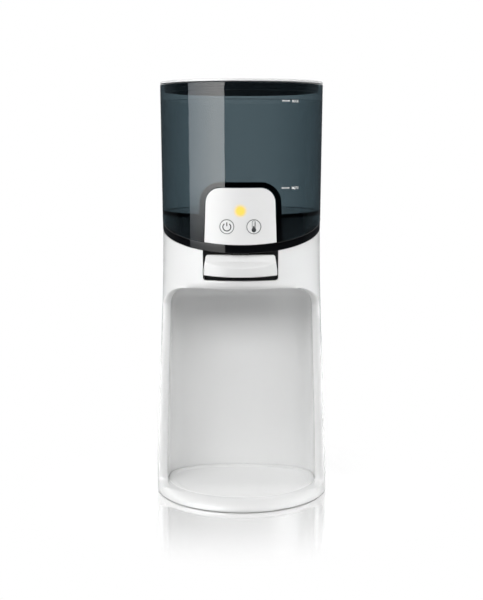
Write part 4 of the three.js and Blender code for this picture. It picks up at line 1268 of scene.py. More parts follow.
    def build(self, shop: Workshop) -> None:
        """Makes the front housing and the rear cover.

        Args:
            shop: Where the pieces are finished.
        """
        hollow = combined(self.blank(), Cut.MINUS, *self.chambers(), SEAM.above(-SEAM.gap / 2))
        copy, under, over = hollow.copy(), -1.0, 300.0
        front_end, rear_start = self.split - self.split_gap / 2, self.split + self.split_gap / 2
        tray = Tray()
        front = combined(
            hollow, Cut.MINUS,
            box((-BEYOND, front_end, under), (BEYOND, BEYOND, over)),
            tray.solid(0.0, tray.recess, self.floor + 0.5),
            prism(Plane.FRONT, self.opening(), -BEYOND, -self.opening_half_width),
            rod(Plane.PLAN, SPOUT, self.spout_hole, self.ceiling - 2, self.ceiling + self.wall + 2),
        )
        post_front = self.back + self.wall / 2
        posts = [
            rod(Plane.FRONT, (side, height), self.post_radius, post_front, self.post_back)
            for height in self.post_heights for side in (-self.post_spacing, self.post_spacing)
        ]
        front = combined(front, Cut.PLUS, *posts, *BOSSES.pair(BOSSES.front))
        front = combined(front, Cut.MINUS, *BOSSES.pair(BOSSES.front, bored=True))
        low, high, beside, outer = self.opening_foot - 3, 224.0, 33.0, -55.0
        eased(
            front, self.opening_edge,
            lambda p: p.y < outer and low < p.z < high and abs(p.x) < beside,
        )
        shop.finished("housing_front", front, "base", WHITE, ["front_housing"])
        rear = combined(
            copy, Cut.MINUS, box((-BEYOND, -BEYOND, under), (BEYOND, rear_start, over)),
        )
        rear = combined(rear, Cut.PLUS, *BOSSES.pair(BOSSES.rear))
        inlet = rounded_box(
            self.inlet_half_width, self.inlet_foot, self.inlet_top, self.inlet_corner,
        )
        rear = combined(
            rear, Cut.MINUS, prism(Plane.FRONT, inlet, self.inlet_front, BEYOND),
            *BOSSES.pair(BOSSES.rear, bored=True),
        )
        low, high, beside, outer = 13.0, 29.0, 14.0, 70.0
        eased(
            rear, self.inlet_edge,
            lambda p: p.y > outer and low < p.z < high and abs(p.x) < beside,
        )
        shop.finished("housing_rear", rear, "base", WHITE, ["rear_cover"])


@dataclass(frozen=True)
class Tray:
    """The white lift-out tray that is the niche's floor."""

    half_width: float = 66.8
    back: float = 39.5
    front: float = 61.8
    back_squareness: float = 2.6
    front_squareness: float = 2.0
    low: float = 6.1
    top: float = 9.0
    recess: float = 5.8
    clearance: float = 0.3
    edge: float = 0.8
    edge_steps: int = 5
    rim: float = 4.0
    slope: float = 3.0
    dish: float = 1.1
    dish_steps: int = 8
    steps: int = 180

    def outline(self, inset: float, height: float) -> list[Vector]:
        """Returns the tray's outline, drawn in by a distance, at a height.

        Args:
            inset: The distance that it is drawn in by.
            height: Its height.

        Returns:
            The points, in order.
        """
        points = []
        for i in range(self.steps):
            angle = FULL_TURN * i / self.steps
            depth, power = self.front, self.front_squareness
            if angle < math.pi:
                depth, power = self.back, self.back_squareness
            x, y = squared_oval(self.half_width - inset, depth - inset, angle, power)
            points.append(Vector((x, y, height)))
        return points

    def solid(self, inset: float, low: float, high: float) -> Mesh:
        """Makes a straight-sided solid with the tray's outline."""
        return loft([self.outline(inset, low), self.outline(inset, high)])

    def build(self, shop: Workshop) -> None:
        """Makes the tray, with its round edge and shallow dish.

        Args:
            shop: Where the pieces are finished.
        """
        levels = []
        for turn in quarter_turns(self.edge_steps):
            inset = self.edge * (1 - math.sin(turn))
            levels.append((inset, self.low + self.edge * (1 - math.cos(turn))))
        for turn in quarter_turns(self.edge_steps):
            inset = self.edge * (1 - math.cos(turn))
            levels.append((inset, self.top - self.edge * (1 - math.sin(turn))))
        for share in (i / self.dish_steps for i in range(self.dish_steps + 1)):
            ease = (1 - math.cos(math.pi * share)) / 2
            levels.append((self.rim + self.slope * share, self.top - self.dish * ease))
        mesh = loft([self.outline(self.clearance + inset, height) for inset, height in levels])
        shop.finished("tray", mesh, "tray", TRAY_WHITE, ["drip_tray"])


@dataclass(frozen=True)
class Deck:
    """The glossy black band with the raised platform that the tank sits over."""

    radius: float = 69.88
    low: float = 214.7
    edge: float = 0.45
    platform: float = 65.6
    platform_foot: float = 221.8
    platform_edge: float = 1.2
    wall: float = 2.4
    top: float = 250.4
    notch_half_width: float = 36.3
    notch_depth: float = 47.8
    socket_hole: float = 8.6

    def build(self, shop: Workshop) -> None:
        """Makes the deck.

        Args:
            shop: Where the pieces are finished.
        """
        low, foot, top, over = self.low, self.platform_foot, self.top, 300.0
        band = combined(
            drum(self.radius, low, top, Sides.RING),
            Cut.MINUS, SEAM.above(SEAM.band),
        )
        profile = [(0, foot), (self.platform, foot), (self.platform, top), (0, top)]
        dome = revolve(softened(profile, {2: self.platform_edge}), Sides.RING)
        hollow = drum(self.platform - self.wall, 0, top - self.wall)
        side, behind = self.notch_half_width, -self.notch_depth
        solid_front = combined(
            box((-side - self.wall, -BEYOND, 0), (side + self.wall, behind + self.wall, over)),
            Cut.COMMON, SEAM.above(0),
        )
        hollow = combined(hollow, Cut.MINUS, solid_front)
        notch = combined(
            box((-side, -BEYOND, 0), (side, behind, over)), Cut.COMMON, SEAM.above(SEAM.band),
        )
        shell = combined(combined(band, Cut.PLUS, dome), Cut.COMMON, SEAM.above(SEAM.gap / 2))
        socket = rod(Plane.PLAN, OUTLET, self.socket_hole, 0, 260)
        shell = combined(shell, Cut.MINUS, hollow, notch, socket)
        outer = 69.4
        eased(shell, self.edge, lambda p: p.xy.length > outer)
        shop.finished("band_and_platform", shell, "base", PIANO, ["tank_deck"])


@dataclass(frozen=True)
class Panel:
    """The arch-shaped white panel, its keys, icons and status light."""

    foot_half: float = 30.6
    shoulder_half: float = 29.0
    top: float = 276.1
    corner: float = 12.5
    corner_steps: int = 24
    foot: float = 219.78
    face: float = 70.36
    thickness: float = 2.0
    back: float = -30.6
    edge: float = 0.3
    hole_gap: float = 0.1
    key_height: float = 244.178
    key_spacing: float = 11.2
    key_radius: float = 6.1
    key_inset: float = 0.05
    key_back: float = -65.0
    flange: Triple = (7.4, -65.6, -64.6)
    stem: Triple = (2.4, -65.0, -63.4)
    light_radius: float = 3.7
    lens_gap: float = 0.01
    lens_back: float = -67.0
    lens_flange: Triple = (5.0, -67.6, -65.6)
    print_sink: float = 0.07
    ring_inset: float = 0.32
    ring_width: float = 0.52
    sign_radius: float = 3.3
    sign_width: float = 0.86
    sign_ends: Point = (52.0, -232.0)

    def arch(self, offset: float) -> list[Point]:
        """Returns the arch outline, grown by a distance.

        Args:
            offset: The distance that it is grown by.

        Returns:
            The points, in order.
        """
        foot_half, shoulder = self.foot_half + offset, self.shoulder_half + offset
        top, corner = self.top + offset, self.corner + offset
        steps = self.corner_steps
        right = arc((shoulder - corner, top - corner), corner, 0, QUARTER_TURN, steps)
        left = arc((corner - shoulder, top - corner), corner, QUARTER_TURN, math.pi, steps)
        return [(foot_half, self.foot), *right, *left, (-foot_half, self.foot)]

    def arch_solid(self, offset: float, front: float, back: float) -> Mesh:
        """Sweeps the arch outline in depth."""
        return prism(Plane.FRONT, self.arch(offset), front, back)

    def face_solid(self, inset: float = 0.0) -> Mesh:
        """Makes the solid behind the panel's curved face."""
        low, high = 200, 300
        return drum(self.face - inset, low, high, Sides.FACE)

    def plate(self) -> Mesh:
        """Returns the panel's plate with its holes."""
        shell = combined(self.face_solid(), Cut.MINUS, self.face_solid(self.thickness))
        plate = combined(
            self.arch_solid(0, -BEYOND, self.back), Cut.COMMON, shell,
            SEAM.above(SEAM.band + SEAM.gap),
        )
        places = [(hand * self.key_spacing, self.key_height, self.key_radius) for hand in (-1, 1)]
        places.append((0, LIGHT_HEIGHT, self.light_radius))
        return combined(plate, Cut.MINUS, *(
            rod(Plane.FRONT, (x, height), radius + self.hole_gap, -BEYOND, 0, Sides.KEY)
            for x, height, radius in places
        ))

    def key(self, x: float) -> Mesh:
        """Makes one key, with its flange and stem.

        Args:
            x: Where its middle lies across.

        Returns:
            The closed solid.
        """
        place, shoulder = (x, self.key_height), -68
        cap = combined(
            rod(Plane.FRONT, place, self.key_radius, -BEYOND, self.key_back, Sides.KEY),
            Cut.COMMON, self.face_solid(self.key_inset),
        )
        eased(cap, self.edge, lambda p: p.y < shoulder)
        flange = rod(Plane.FRONT, place, *self.flange, Sides.KNOB)
        return combined(cap, Cut.PLUS, flange, rod(Plane.FRONT, place, *self.stem, Sides.PIN))

    def lens(self) -> Mesh:
        """Returns the light's lens, with its flange."""
        place = (0, LIGHT_HEIGHT)
        radius = self.light_radius + self.hole_gap - self.lens_gap
        lens = combined(
            rod(Plane.FRONT, place, radius, -BEYOND, self.lens_back, Sides.KEY),
            Cut.COMMON, self.face_solid(),
        )
        flange = rod(Plane.FRONT, place, *self.lens_flange, Sides.KNOB)
        return combined(lens, Cut.PLUS, flange)

    def print_on(
        self, shop: Workshop, name: str, body: str, strokes: Sequence[Mesh], finish: Moulded,
    ) -> None:
        """Joins printed strokes and lays them on the panel's face.

        Args:
            shop: Where the piece is finished.
            name: The print's name.
            body: The body that it rides on.
            strokes: Its strokes. They are used up.
            finish: Its finish.
        """
        whole = bmesh.new()
        for mesh in strokes:
            data = bpy.data.meshes.new("passing")
            mesh.to_mesh(data)
            mesh.free()
            whole.from_mesh(data)
            bpy.data.meshes.remove(data)
        wrapped(whole, self.face - self.print_sink)
        shop.finished(name, whole, body, finish)

    def ring(self, x: float) -> Mesh:
        """Makes the printed ring near the edge of a key."""
        radius = self.key_radius - self.ring_inset
        return stroke(arc((x, self.key_height), radius, 0, FULL_TURN, 72), self.ring_width)

    def power_sign(self, shop: Workshop) -> None:
        """Prints the ring and the power sign.

        Args:
            shop: Where the pieces are finished.
        """
        x, middle, width = -self.key_spacing, self.key_height, self.sign_width
        foot, crown, drop = middle + 0.5, middle + 3.6, 0.2
        start, end = (math.radians(angle) for angle in self.sign_ends)
        self.print_on(shop, "power_ring", "power_button", [self.ring(x)], RING_GREY)
        sign = [
            stroke(arc((x, middle - drop), self.sign_radius, start, end, 40), width),
            stroke([(x, foot), (x, crown)], width),
        ]
        self.print_on(shop, "power_icon", "power_button", sign, PRINT_GREY)

    def thermometer(self, shop: Workshop) -> None:
        """Prints the ring, and the thermometer with its scale.

        Args:
            shop: Where the pieces are finished.
        """
        x, middle = self.key_spacing, self.key_height
        bulb, glass, tube = 1.9, 2.0, 1.35
        foot, crown = middle - 2.7, middle + 3.6
        shoulder = foot + math.sqrt(glass ** 2 - tube ** 2)
        fluid_width, fluid_foot, fluid_top = 1.6, foot + 1.2, middle + 0.5
        glass_width, mark_width, first_mark, mark_gap, overlap = 0.42, 0.34, middle + 1.0, 0.8, 0.1
        outline = [
            (x + tube, shoulder), (x + tube, crown), *arc((x, crown), tube, 0, math.pi, 16)[1:],
            (x - tube, shoulder),
        ]
        fluid = [
            rod(Plane.FRONT, (x, foot), bulb, -PRINT_DEPTH, 0, Sides.SCREW),
            stroke([(x, fluid_foot), (x, fluid_top)], fluid_width, 0.055),
        ]
        self.print_on(shop, "temperature_icon", "temperature_button", fluid, PRINT_GREY)
        scale = [self.ring(x), stroke(outline, glass_width)]
        for level in (first_mark + mark_gap * step for step in range(4)):
            scale.append(stroke([(x - overlap, level), (x + tube, level)], mark_width))
        self.print_on(shop, "temperature_scale", "temperature_button", scale, RING_GREY)

    def build(self, shop: Workshop) -> None:
        """Makes the panel's pieces.

        Args:
            shop: Where the pieces are finished.
        """
        outer = 69.8
        plate = eased(self.plate(), self.edge, lambda p: p.xy.length > outer)
        shop.finished("panel_plate", plate, "base", LIT_FASCIA, ["control_panel"])
        for hand, sort in ((-1, "power"), (1, "temperature")):
            shop.finished(
                f"key_{sort}", self.key(hand * self.key_spacing), f"{sort}_button", FASCIA,
                [f"{sort}_key"],
            )
        self.power_sign(shop)
        self.thermometer(shop)
        shop.finished("status_lens", self.lens(), "base", LENS, ["status_light"])


@dataclass(frozen=True)
class Tank:
    """The smoke-tinted tank with the arch pocket in its front."""

    foot_radius: float = 70.1
    rim_radius: float = 71.2
    wall: float = 2.4
    rim: float = 362.7
    rim_edge: float = 0.8
    rim_chamfer: float = 0.6
    floor: float = 253.1
    underside: float = 250.7
    ledge: float = 348.4
    ledge_depth: float = 0.3
    corner: float = 1.4
    pocket_gap: float = 0.5
    pocket_wall: float = 4.2
    pocket_depth: float = 52.0
    pocket_back: float = 2.1
    outlet_radius: float = 8.0
    outlet_bore: float = 6.0
    outlet_foot: float = 236.5
    guide_radius: float = 3.2
    guide_bore: float = 1.8
    guide_low: float = 240.0
    guide_high: float = 242.5
    rib_reach: float = 7.0
    rib_width: float = 1.6
    mark_heights: tuple[tuple[str, float], ...] = (("MAX", 347.3), ("MIN", 275.8))
    mark_left: float = 34.3
    mark_right: float = 40.7
    mark_width: float = 1.25
    mark_depth: float = 0.05
    word_left: float = 42.6
    word_width: float = 5.5
    letter_size: float = 3.3
    letter_middle: float = 1.25

    def radius(self, height: float) -> float:
        """Returns the outer radius at a height."""
        share = (height - self.underside) / (self.rim - self.underside)
        return self.foot_radius + (self.rim_radius - self.foot_radius) * share

    def outer(self) -> Mesh:
        """Returns the tank's outer form."""
        low = 217.0
        profile = [
            (0, low), (self.radius(low), low), (self.rim_radius, self.rim), (0, self.rim),
        ]
        return revolve(softened(profile, {2: self.rim_edge}), Sides.TANK)

    def hollow(self) -> Mesh:
        """Returns the space for the water."""
        foot, step = self.radius(self.floor) - self.wall, self.radius(self.ledge) - self.wall
        wide, over = step + self.ledge_depth, self.rim + 3
        mouth = wide + self.rim_chamfer
        profile = [
            (0, self.floor), (foot, self.floor), (step, self.ledge),
            (wide, self.ledge + self.ledge_depth), (wide, self.rim - self.rim_chamfer),
            (mouth, self.rim), (mouth, over), (0, over),
        ]
        return revolve(softened(profile, {1: self.corner}, 10), Sides.TANK)

    def build(self, shop: Workshop) -> None:
        """Makes the tank and the level marks on it.

        Args:
            shop: Where the pieces are finished.
        """
        panel = Panel()
        skirt = drum(self.foot_radius - self.wall, 0, self.underside, Sides.TANK)
        pocket_shell = combined(
            panel.arch_solid(
                self.pocket_gap + self.pocket_wall, -BEYOND, self.pocket_back - self.pocket_depth,
            ),
            Cut.COMMON, self.outer(),
        )
        pocket = panel.arch_solid(self.pocket_gap, -BEYOND, -self.pocket_depth)
        outlet, bore = (
            rod(Plane.PLAN, OUTLET, radius, low, high, Sides.KNOB) for radius, low, high in (
                (self.outlet_radius, self.outlet_foot, self.floor),
                (self.outlet_bore, 0, self.floor + 2),
            )
        )
        tub = combined(self.outer(), Cut.MINUS, self.hollow(), skirt)
        tub = combined(tub, Cut.PLUS, pocket_shell)
        tub = combined(tub, Cut.MINUS, pocket)
        tub = combined(tub, Cut.COMMON, SEAM.above(SEAM.band + SEAM.gap))
        tub = combined(tub, Cut.PLUS, outlet)
        tub = combined(tub, Cut.MINUS, bore)
        tub = combined(tub, Cut.PLUS, self.guide())
        shop.finished("tank_shell", tub, "tank", SMOKE, ["water_tank"], sharp=28)
        self.marks(shop)

    def guide(self) -> Mesh:
        """Returns the three-legged guide of the valve in the outlet."""
        low, high, half, middle = self.guide_low, self.guide_high, self.rib_width / 2, (0, 0)
        hub = rod(Plane.PLAN, middle, self.guide_radius, low, high, Sides.PIN)
        ribs = [box((0, -half, low), (self.rib_reach, half, high)) for _ in range(3)]
        for number, rib in enumerate(ribs):
            turn = Matrix.Rotation(number * FULL_TURN / len(ribs), 3, "Z")
            bmesh.ops.rotate(rib, cent=(0, 0, 0), matrix=turn, verts=rib.verts)
        hub = combined(hub, Cut.PLUS, *ribs)
        under, over = low - 10, high + 7.5
        bore = rod(Plane.PLAN, middle, self.guide_bore, under, over, Sides.PIN)
        hub = combined(hub, Cut.MINUS, bore)
        bmesh.ops.translate(hub, vec=(*OUTLET, 0), verts=hub.verts)
        return hub

    def marks(self, shop: Workshop) -> None:
        """Prints the two level lines and their words on the tank.

        Args:
            shop: Where the pieces are finished.
        """
        for word, height in self.mark_heights:
            ends = [(self.mark_left, height), (self.mark_right, height)]
            line = stroke(ends, self.mark_width, self.mark_depth)
            letters = self.letters(word, height)
            for sort, mesh in (("line", line), ("word", letters)):
                wrapped(mesh, self.radius(height))
                name = f"{word.lower()}_{sort}"
                shop.finished(name, mesh, "tank", PRINT_WHITE)

    def letters(self, word: str, middle: float) -> Mesh:
        """Makes a word as a flat relief in front view.

        Args:
            word: The word.
            middle: The height of its middle.

        Returns:
            The relief, with its back on the plane y = 0.
        """
        relief = self.mark_depth / 2
        text = bpy.data.curves.new("passing", "FONT")
        text.body = word
        text.size = self.letter_size
        text.offset = 0.05
        text.extrude = relief
        text.resolution_u = 4
        piece = bpy.data.objects.new("passing", text)
        bpy.context.scene.collection.objects.link(piece)
        data = settled(piece)
        mesh = bmesh.new()
        mesh.from_mesh(data)
        bpy.data.meshes.remove(data)
        bpy.data.objects.remove(piece)
        bpy.data.curves.remove(text)
        ends = [vertex.co.x for vertex in mesh.verts]
        squeeze = self.word_width / (max(ends) - min(ends))
        for vertex in mesh.verts:
            x, up, out = vertex.co
            height = middle + up - self.letter_middle
            vertex.co = Vector((self.word_left + x * squeeze, -out - relief, height))
        bmesh.ops.remove_doubles(mesh, verts=mesh.verts, dist=MERGE_GAP / 2)
        bmesh.ops.recalc_face_normals(mesh, faces=mesh.faces)
        return mesh


@dataclass(frozen=True)
class Lid:
    """The white lid with its plug, dark as painted shade, and its dark gasket."""

    radius: float = 71.1
    low: float = 363.0
    top: float = 365.58
    crown: float = 0.5
    foot_edge: float = 0.5
    top_edge: float = 1.3
    plug: float = 64.4
    plug_gap: float = 0.02
    plug_plate: float = 0.7
    plug_step: float = 2.2
    plug_foot: float = 356.0
    plug_corner: float = 0.6
    gasket: float = 67.2
    gasket_gap: float = 0.3
    gasket_edge: float = 0.9
    gasket_lip: float = 0.9
    lip_drop: float = 3.0
    lip_half: float = 1.2
    lip_edge: float = 0.5
    rim: float = 362.7

    def build(self, shop: Workshop) -> None:
        """Makes the lid's cap, its plug, dark as painted shade, and the gasket round it.

        Args:
            shop: Where the pieces are finished.
        """
        cap = softened([
            (0, self.low), (self.radius, self.low), (self.radius, self.top - self.crown),
            (0, self.top),
        ], {1: self.foot_edge, 2: self.top_edge}, 8)
        high, low = self.low - self.plug_gap, self.low - self.plug_plate
        inner = self.plug - self.plug_step
        plug = softened([
            (0, low), (inner, low), (inner, self.plug_foot), (self.plug, self.plug_foot),
            (self.plug, high), (0, high),
        ], dict.fromkeys((1, 2, 3), self.plug_corner), 8)
        inner, foot = self.plug + self.gasket_gap, self.plug_foot + self.gasket_gap
        lip = self.rim - self.lip_drop
        ring = softened([
            (inner, foot), (self.gasket, foot), (self.gasket, lip - self.lip_half),
            (self.gasket + self.gasket_lip, lip), (self.gasket, lip + self.lip_half),
            (self.gasket, self.rim), (inner, self.rim),
        ], {1: self.gasket_edge, 3: self.lip_edge})
        ring.append(ring[0])
        for name, profile, finish, slot, replaced in (
            ("lid_cap", cap, WHITE, "white_shell", ["tank_lid"]),
            # The plug wears the dark silicone as painted shade, for the shade it sits in inside the
            # tank.
            ("lid_plug", plug, NAVY_SILICONE_AND_PAINTED_SHADE, "navy_silicone", []),
            ("gasket", ring, NAVY_SILICONE_AND_PAINTED_SHADE, "navy_silicone", ["lid_gasket"]),
        ):
            shop.finished(name, revolve(profile, Sides.RING), "lid", finish, replaced)


@dataclass(frozen=True)
class Lever:
    """The broad white press lever, its arm and the black liner of its opening."""

    half_width: float = 30.8
    top_half_width: float = 29.2
    top: float = 220.3
    shoulder: float = 208.0
    foot: float = 202.4
    foot_rise: float = 1.2
    reach: float = 76.2
    wall: float = 2.0
    corner: float = 2.2
    corner_steps: int = 8
    foot_steps: int = 12
    back: float = -62.0
    crest: float = -66.0
    crest_edge: float = 0.8
    knee: float = -69.4
    knee_height: float = 215.0
    knee_edge: float = 1.2
    scoop_end: float = -79.0
    scoop_slope: float = 0.71
    edge: float = 0.75
    arm_half_width: float = 6.0
    arm_half_height: float = 2.5
    pivot_depth: float = -44.0
    pivot_height: float = 213.0
    pivot_radius: float = 4.0
    pivot_half_length: float = 14.0
    pivot_bore: float = 1.8
    slot_half_width: float = 3.0
    slot_front: float = -18.4

    def front(self) -> list[Point]:
        """Returns the lever's outline from the front."""
        half, inner, steps = self.half_width, self.top_half_width - self.corner, self.foot_steps
        high = self.top - self.corner
        right = arc((inner, high), self.corner, 0, QUARTER_TURN, self.corner_steps)
        left = arc((-inner, high), self.corner, QUARTER_TURN, math.pi, self.corner_steps)
        shares = [step / steps for step in range(-steps, steps + 1)]
        foot = [(half * share, self.foot + self.foot_rise * share ** 2) for share in shares]
        return [*foot, (half, self.shoulder), *right, *left, (-half, self.shoulder)]

    def side(self, inset: float) -> list[Point]:
        """Returns the side profile: a steep top face, then the scoop that falls to the front.

        Args:
            inset: How far inside the outer face it runs.

        Returns:
            The points, in order.
        """
        top, back, foot = self.top - inset, self.back + inset, self.foot + inset
        knee, end = self.knee_height - inset, self.scoop_end
        low = knee + self.scoop_slope * (end - self.knee)
        front = [(self.crest, top), (self.knee, knee), (end, low), (end, foot)]
        return [*front, (back, foot), (back, top)]

    def face(self, radius: float, segments: int) -> Mesh:
        """Makes the round solid behind the lever's curved front."""
        low, high = 195, 230
        return drum(radius, low, high, segments)

    def nose(self) -> Mesh:
        """Returns the broad hollow part that is pressed."""
        side = softened(self.side(0), {0: self.crest_edge, 1: self.knee_edge})
        half = self.half_width
        nose = combined(
            prism(Plane.SIDE, side, -half, half), Cut.COMMON,
            prism(Plane.FRONT, self.front(), -BEYOND, 0), self.face(self.reach, Sides.FACE),
        )
        outer, beside = -64, 26
        eased(nose, self.edge, lambda p: p.y < outer or abs(p.x) > beside, 35, 4)
        inner = self.top_half_width - 2 * self.wall
        return combined(nose, Cut.MINUS, combined(
            prism(Plane.SIDE, self.side(self.wall), -inner, inner), Cut.COMMON,
            self.face(self.reach - self.wall, Sides.HOLLOW),
        ))

    def lever(self) -> Mesh:
        """Returns the nose with its arm and its bored pivot."""
        middle, rise, half = self.pivot_height, self.arm_half_height, self.arm_half_width
        low, high, slot = middle - rise, middle + rise, self.slot_half_width
        pivot, long = (self.pivot_depth, middle), self.pivot_half_length
        arm = box((-half, self.back - 4, low), (half, -half, high))
        spine = box((-half, self.knee, self.foot + 1), (half, self.back + 2, high))
        barrel = rod(Plane.SIDE, pivot, self.pivot_radius, -long, long)
        return combined(
            combined(self.nose(), Cut.PLUS, arm, spine, barrel), Cut.MINUS,
            box((-slot, self.slot_front, low - 2), (slot, 0, high + 2)),
            rod(Plane.SIDE, pivot, self.pivot_bore, -long - 2, long + 2, Sides.PIN),
        )

    def liner(self) -> Mesh:
        """Returns the black liner of the housing's opening."""
        housing = Housing()
        radius, low, high, outer, front, inner, back = 66.9, 190, 250, 1.8, -54.5, 0.4, -53.1
        arm_half_width, arm_front, arm_low, arm_high = 6.8, -57, 205, 260
        liner = combined(
            prism(Plane.FRONT, housing.opening(outer), -BEYOND, back), Cut.COMMON,
            drum(radius, low, high, Sides.RING),
        )
        return combined(
            liner, Cut.MINUS, prism(Plane.FRONT, housing.opening(inner), -BEYOND, front),
            SEAM.above(-SEAM.gap),
            box((-arm_half_width, arm_front, arm_low), (arm_half_width, 0, arm_high)),
        )

    def build(self, shop: Workshop) -> None:
        """Makes the lever and the liner.

        Args:
            shop: Where the pieces are finished.
        """
        shop.finished("lever", self.lever(), "lever", WHITE, ["dispense_lever"])
        liner = self.liner()
        shop.finished("opening_liner", liner, "base", BLACK, ["lever_bezel"])


@dataclass(frozen=True)
class Valve:
    """The return spring over the dispense valve's plunger, which shortens as the plunger rises."""

    coil_radius: float = 3.2
    wire_radius: float = 0.35
    low: float = 200.97
    high: float = 206.83
    turns: int = 3
    steps: int = 48
    stroke: float = 3.6

    def coil(self) -> Mesh:
        """Returns the wound wire, by turning its round section up a screw."""
        mesh = bmesh.new()
        section = bmesh.ops.create_circle(
            mesh, segments=Sides.WIRE, radius=self.wire_radius,
        )["verts"]
        upright = Matrix.Rotation(QUARTER_TURN, 3, "X")
        bmesh.ops.rotate(mesh, matrix=upright, verts=section)
        bmesh.ops.translate(mesh, vec=(self.coil_radius, 0, self.low), verts=section)
        count = self.turns * self.steps
        last = bmesh.ops.spin(
            mesh, geom=mesh.verts[:] + mesh.edges[:], cent=(0, 0, 0), axis=(0, 0, 1),
            dvec=(0, 0, (self.high - self.low) / count), angle=self.turns * FULL_TURN, steps=count,
        )["geom_last"]
        for end in (section, vertices_in(last)):
            bmesh.ops.contextual_create(mesh, geom=end)
        bmesh.ops.translate(mesh, vec=(*SPOUT, 0), verts=mesh.verts)
        return facing_out(mesh)

    def build(self, shop: Workshop) -> None:
        """Winds the spring and gives it a mesh of its own.

        Args:
            shop: Where the pieces are finished.
        """
        coil = self.coil()
        spring = shop.finished("plunger_spring", coil, "base", STEEL, ["valve_spring"])
        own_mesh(spring)


@dataclass(frozen=True)
class Underside:
    """The rubber feet, the base screws and the spout that hangs in the niche."""

    foot_radius: float = 8.0
    foot_circle: float = 60.0
    foot_top: float = 2.2
    foot_edge: float = 0.6
    foot_angles: tuple[float, ...] = (45.0, 150.0, -150.0, -45.0)
    groove_depth: float = 0.35
    grooves: tuple[Point, ...] = ((2.4, 3.2), (5.0, 5.8))
    head_radius: float = 2.6
    head_low: float = 1.5
    head_high: float = 2.6
    head_edge: float = 0.7
    shank_radius: float = 1.1
    shank_top: float = 15.9
    cross_half_length: float = 1.5
    cross_half_width: float = 0.28
    cross_top: float = 2.2
    spout_bore: float = 2.6
    spout_tip: Point = (5.2, 183.7)
    spout_shoulder: Point = (6.7, 188.7)
    spout_flange: Point = (9.0, 190.2)
    spout_edges: tuple[float, ...] = (0.8, 0.6, 0.5)

    def build(self, shop: Workshop) -> None:
        """Makes the feet, screws and spout.

        Args:
            shop: Where the pieces are finished.
        """
        for number, degrees in enumerate(self.foot_angles, 1):
            turn, mesh = math.radians(degrees), self.foot()
            place = (self.foot_circle * math.sin(turn), -self.foot_circle * math.cos(turn), 0)
            bmesh.ops.translate(mesh, vec=place, verts=mesh.verts)
            name = f"foot_pad_{number}"
            shop.finished(name, mesh, "base", RUBBER, [f"foot_{number}"])
        spots = [(hand * x, y) for x, y in (BOSSES.front, BOSSES.rear) for hand in (-1, 1)]
        for number, (x, y) in enumerate(spots, 1):
            name = f"screw_{number}"
            shop.finished(name, self.screw(x, y), "base", STEEL, [f"base_{name}"])
        shop.finished("spout", self.spout(), "base", GREY, ["spout_nozzle"])

    def foot(self) -> Mesh:
        """Returns a rubber foot on the axis, with two grooves in its tread."""
        tread = [(0, 0)]
        high = self.groove_depth
        for inner, outer in self.grooves:
            tread += [(inner, 0), (inner, high), (outer, high), (outer, 0)]
        tread += [(self.foot_radius, 0), (self.foot_radius, self.foot_top), (0, self.foot_top)]
        return revolve(softened(tread, {len(tread) - 3: self.foot_edge}), Sides.KNOB)

    def screw(self, x: float, y: float) -> Mesh:
        """Makes a pan-head screw with a cross recess, head down.

        Args:
            x: Its place across.
            y: Its place behind the axis.

        Returns:
            The closed solid.
        """
        head, shank = self.head_radius, self.shank_radius
        profile = softened([
            (0, self.head_low), (head, self.head_low), (head, self.head_high),
            (shank, self.head_high), (shank, self.shank_top), (0, self.shank_top),
        ], {1: self.head_edge})
        mesh = revolve(profile, Sides.SCREW)
        bmesh.ops.translate(mesh, vec=(x, y, 0), verts=mesh.verts)
        long, narrow, low, high = self.cross_half_length, self.cross_half_width, 1.0, self.cross_top
        return combined(mesh, Cut.MINUS, *(
            box((x - across, y - along, low), (x + across, y + along, high))
            for across, along in ((long, narrow), (narrow, long))
        ))

    def spout(self) -> Mesh:
        """Returns the spout nozzle."""
        bore, (tip, low), (shoulder, step) = self.spout_bore, self.spout_tip, self.spout_shoulder
        flange, high = self.spout_flange
        profile = softened([
            (bore, low), (tip, low), (shoulder, step), (flange, step), (flange, high), (bore, high),
        ], dict(enumerate(self.spout_edges, 1)))
        profile.append(profile[0])
        mesh = revolve(profile, Sides.KNOB)
        bmesh.ops.translate(mesh, vec=(*SPOUT, 0), verts=mesh.verts)
        return mesh


@dataclass(frozen=True)
class Softbox:
    """One rectangular lamp. It is aimed at a height on the axis and shows in no reflection."""

    name: str
    azimuth: float
    elevation: float
    power: float
    distance: float = 1.3
    aim: float = 0.15
    size: Point = (0.6, 0.4)
    spread: float = 180.0

    def hang(self) -> None:
        """Hangs the lamp."""
        azimuth, elevation = math.radians(self.azimuth), math.radians(self.elevation)
        flat, target = self.distance * math.cos(elevation), Vector((0, 0, self.aim))
        height = self.aim + self.distance * math.sin(elevation)
        place = Vector((flat * math.sin(azimuth), -flat * math.cos(azimuth), height))
        data = bpy.data.lights.new(self.name, "AREA")
        data.shape = "RECTANGLE"
        data.size, data.size_y = self.size
        data.energy = self.power
        data.spread = math.radians(self.spread)
        lamp = bpy.data.objects.new(self.name, data)
        lamp.location = place
        lamp.rotation_euler = (target - place).to_track_quat("-Z", "Y").to_euler()
        lamp.visible_glossy = False
        lamp.visible_transmission = False
        bpy.context.scene.collection.objects.link(lamp)


LAMPS = (
    Softbox("left_key", -30, 26, 4.5),
    Softbox("left_high", -35, 58, 3.0),
    Softbox("right_key", 30, 26, 4.7),
    Softbox("left_side", -60, 26, 2.2),
    Softbox("right_side", 60, 26, 1.2),
    Softbox("left_edge", -95, 8, 0.54, 1.2, 0.1, (0.7, 0.35), 30),
    Softbox("right_edge", 95, 8, 0.65, 1.2, 0.1, (0.7, 0.35), 30),
    Softbox("behind", 180, 50, 10.0, 1.5, 0.25, (0.8, 0.5)),
)
PURE_WHITE = (1.0, 1.0, 1.0, 1.0)


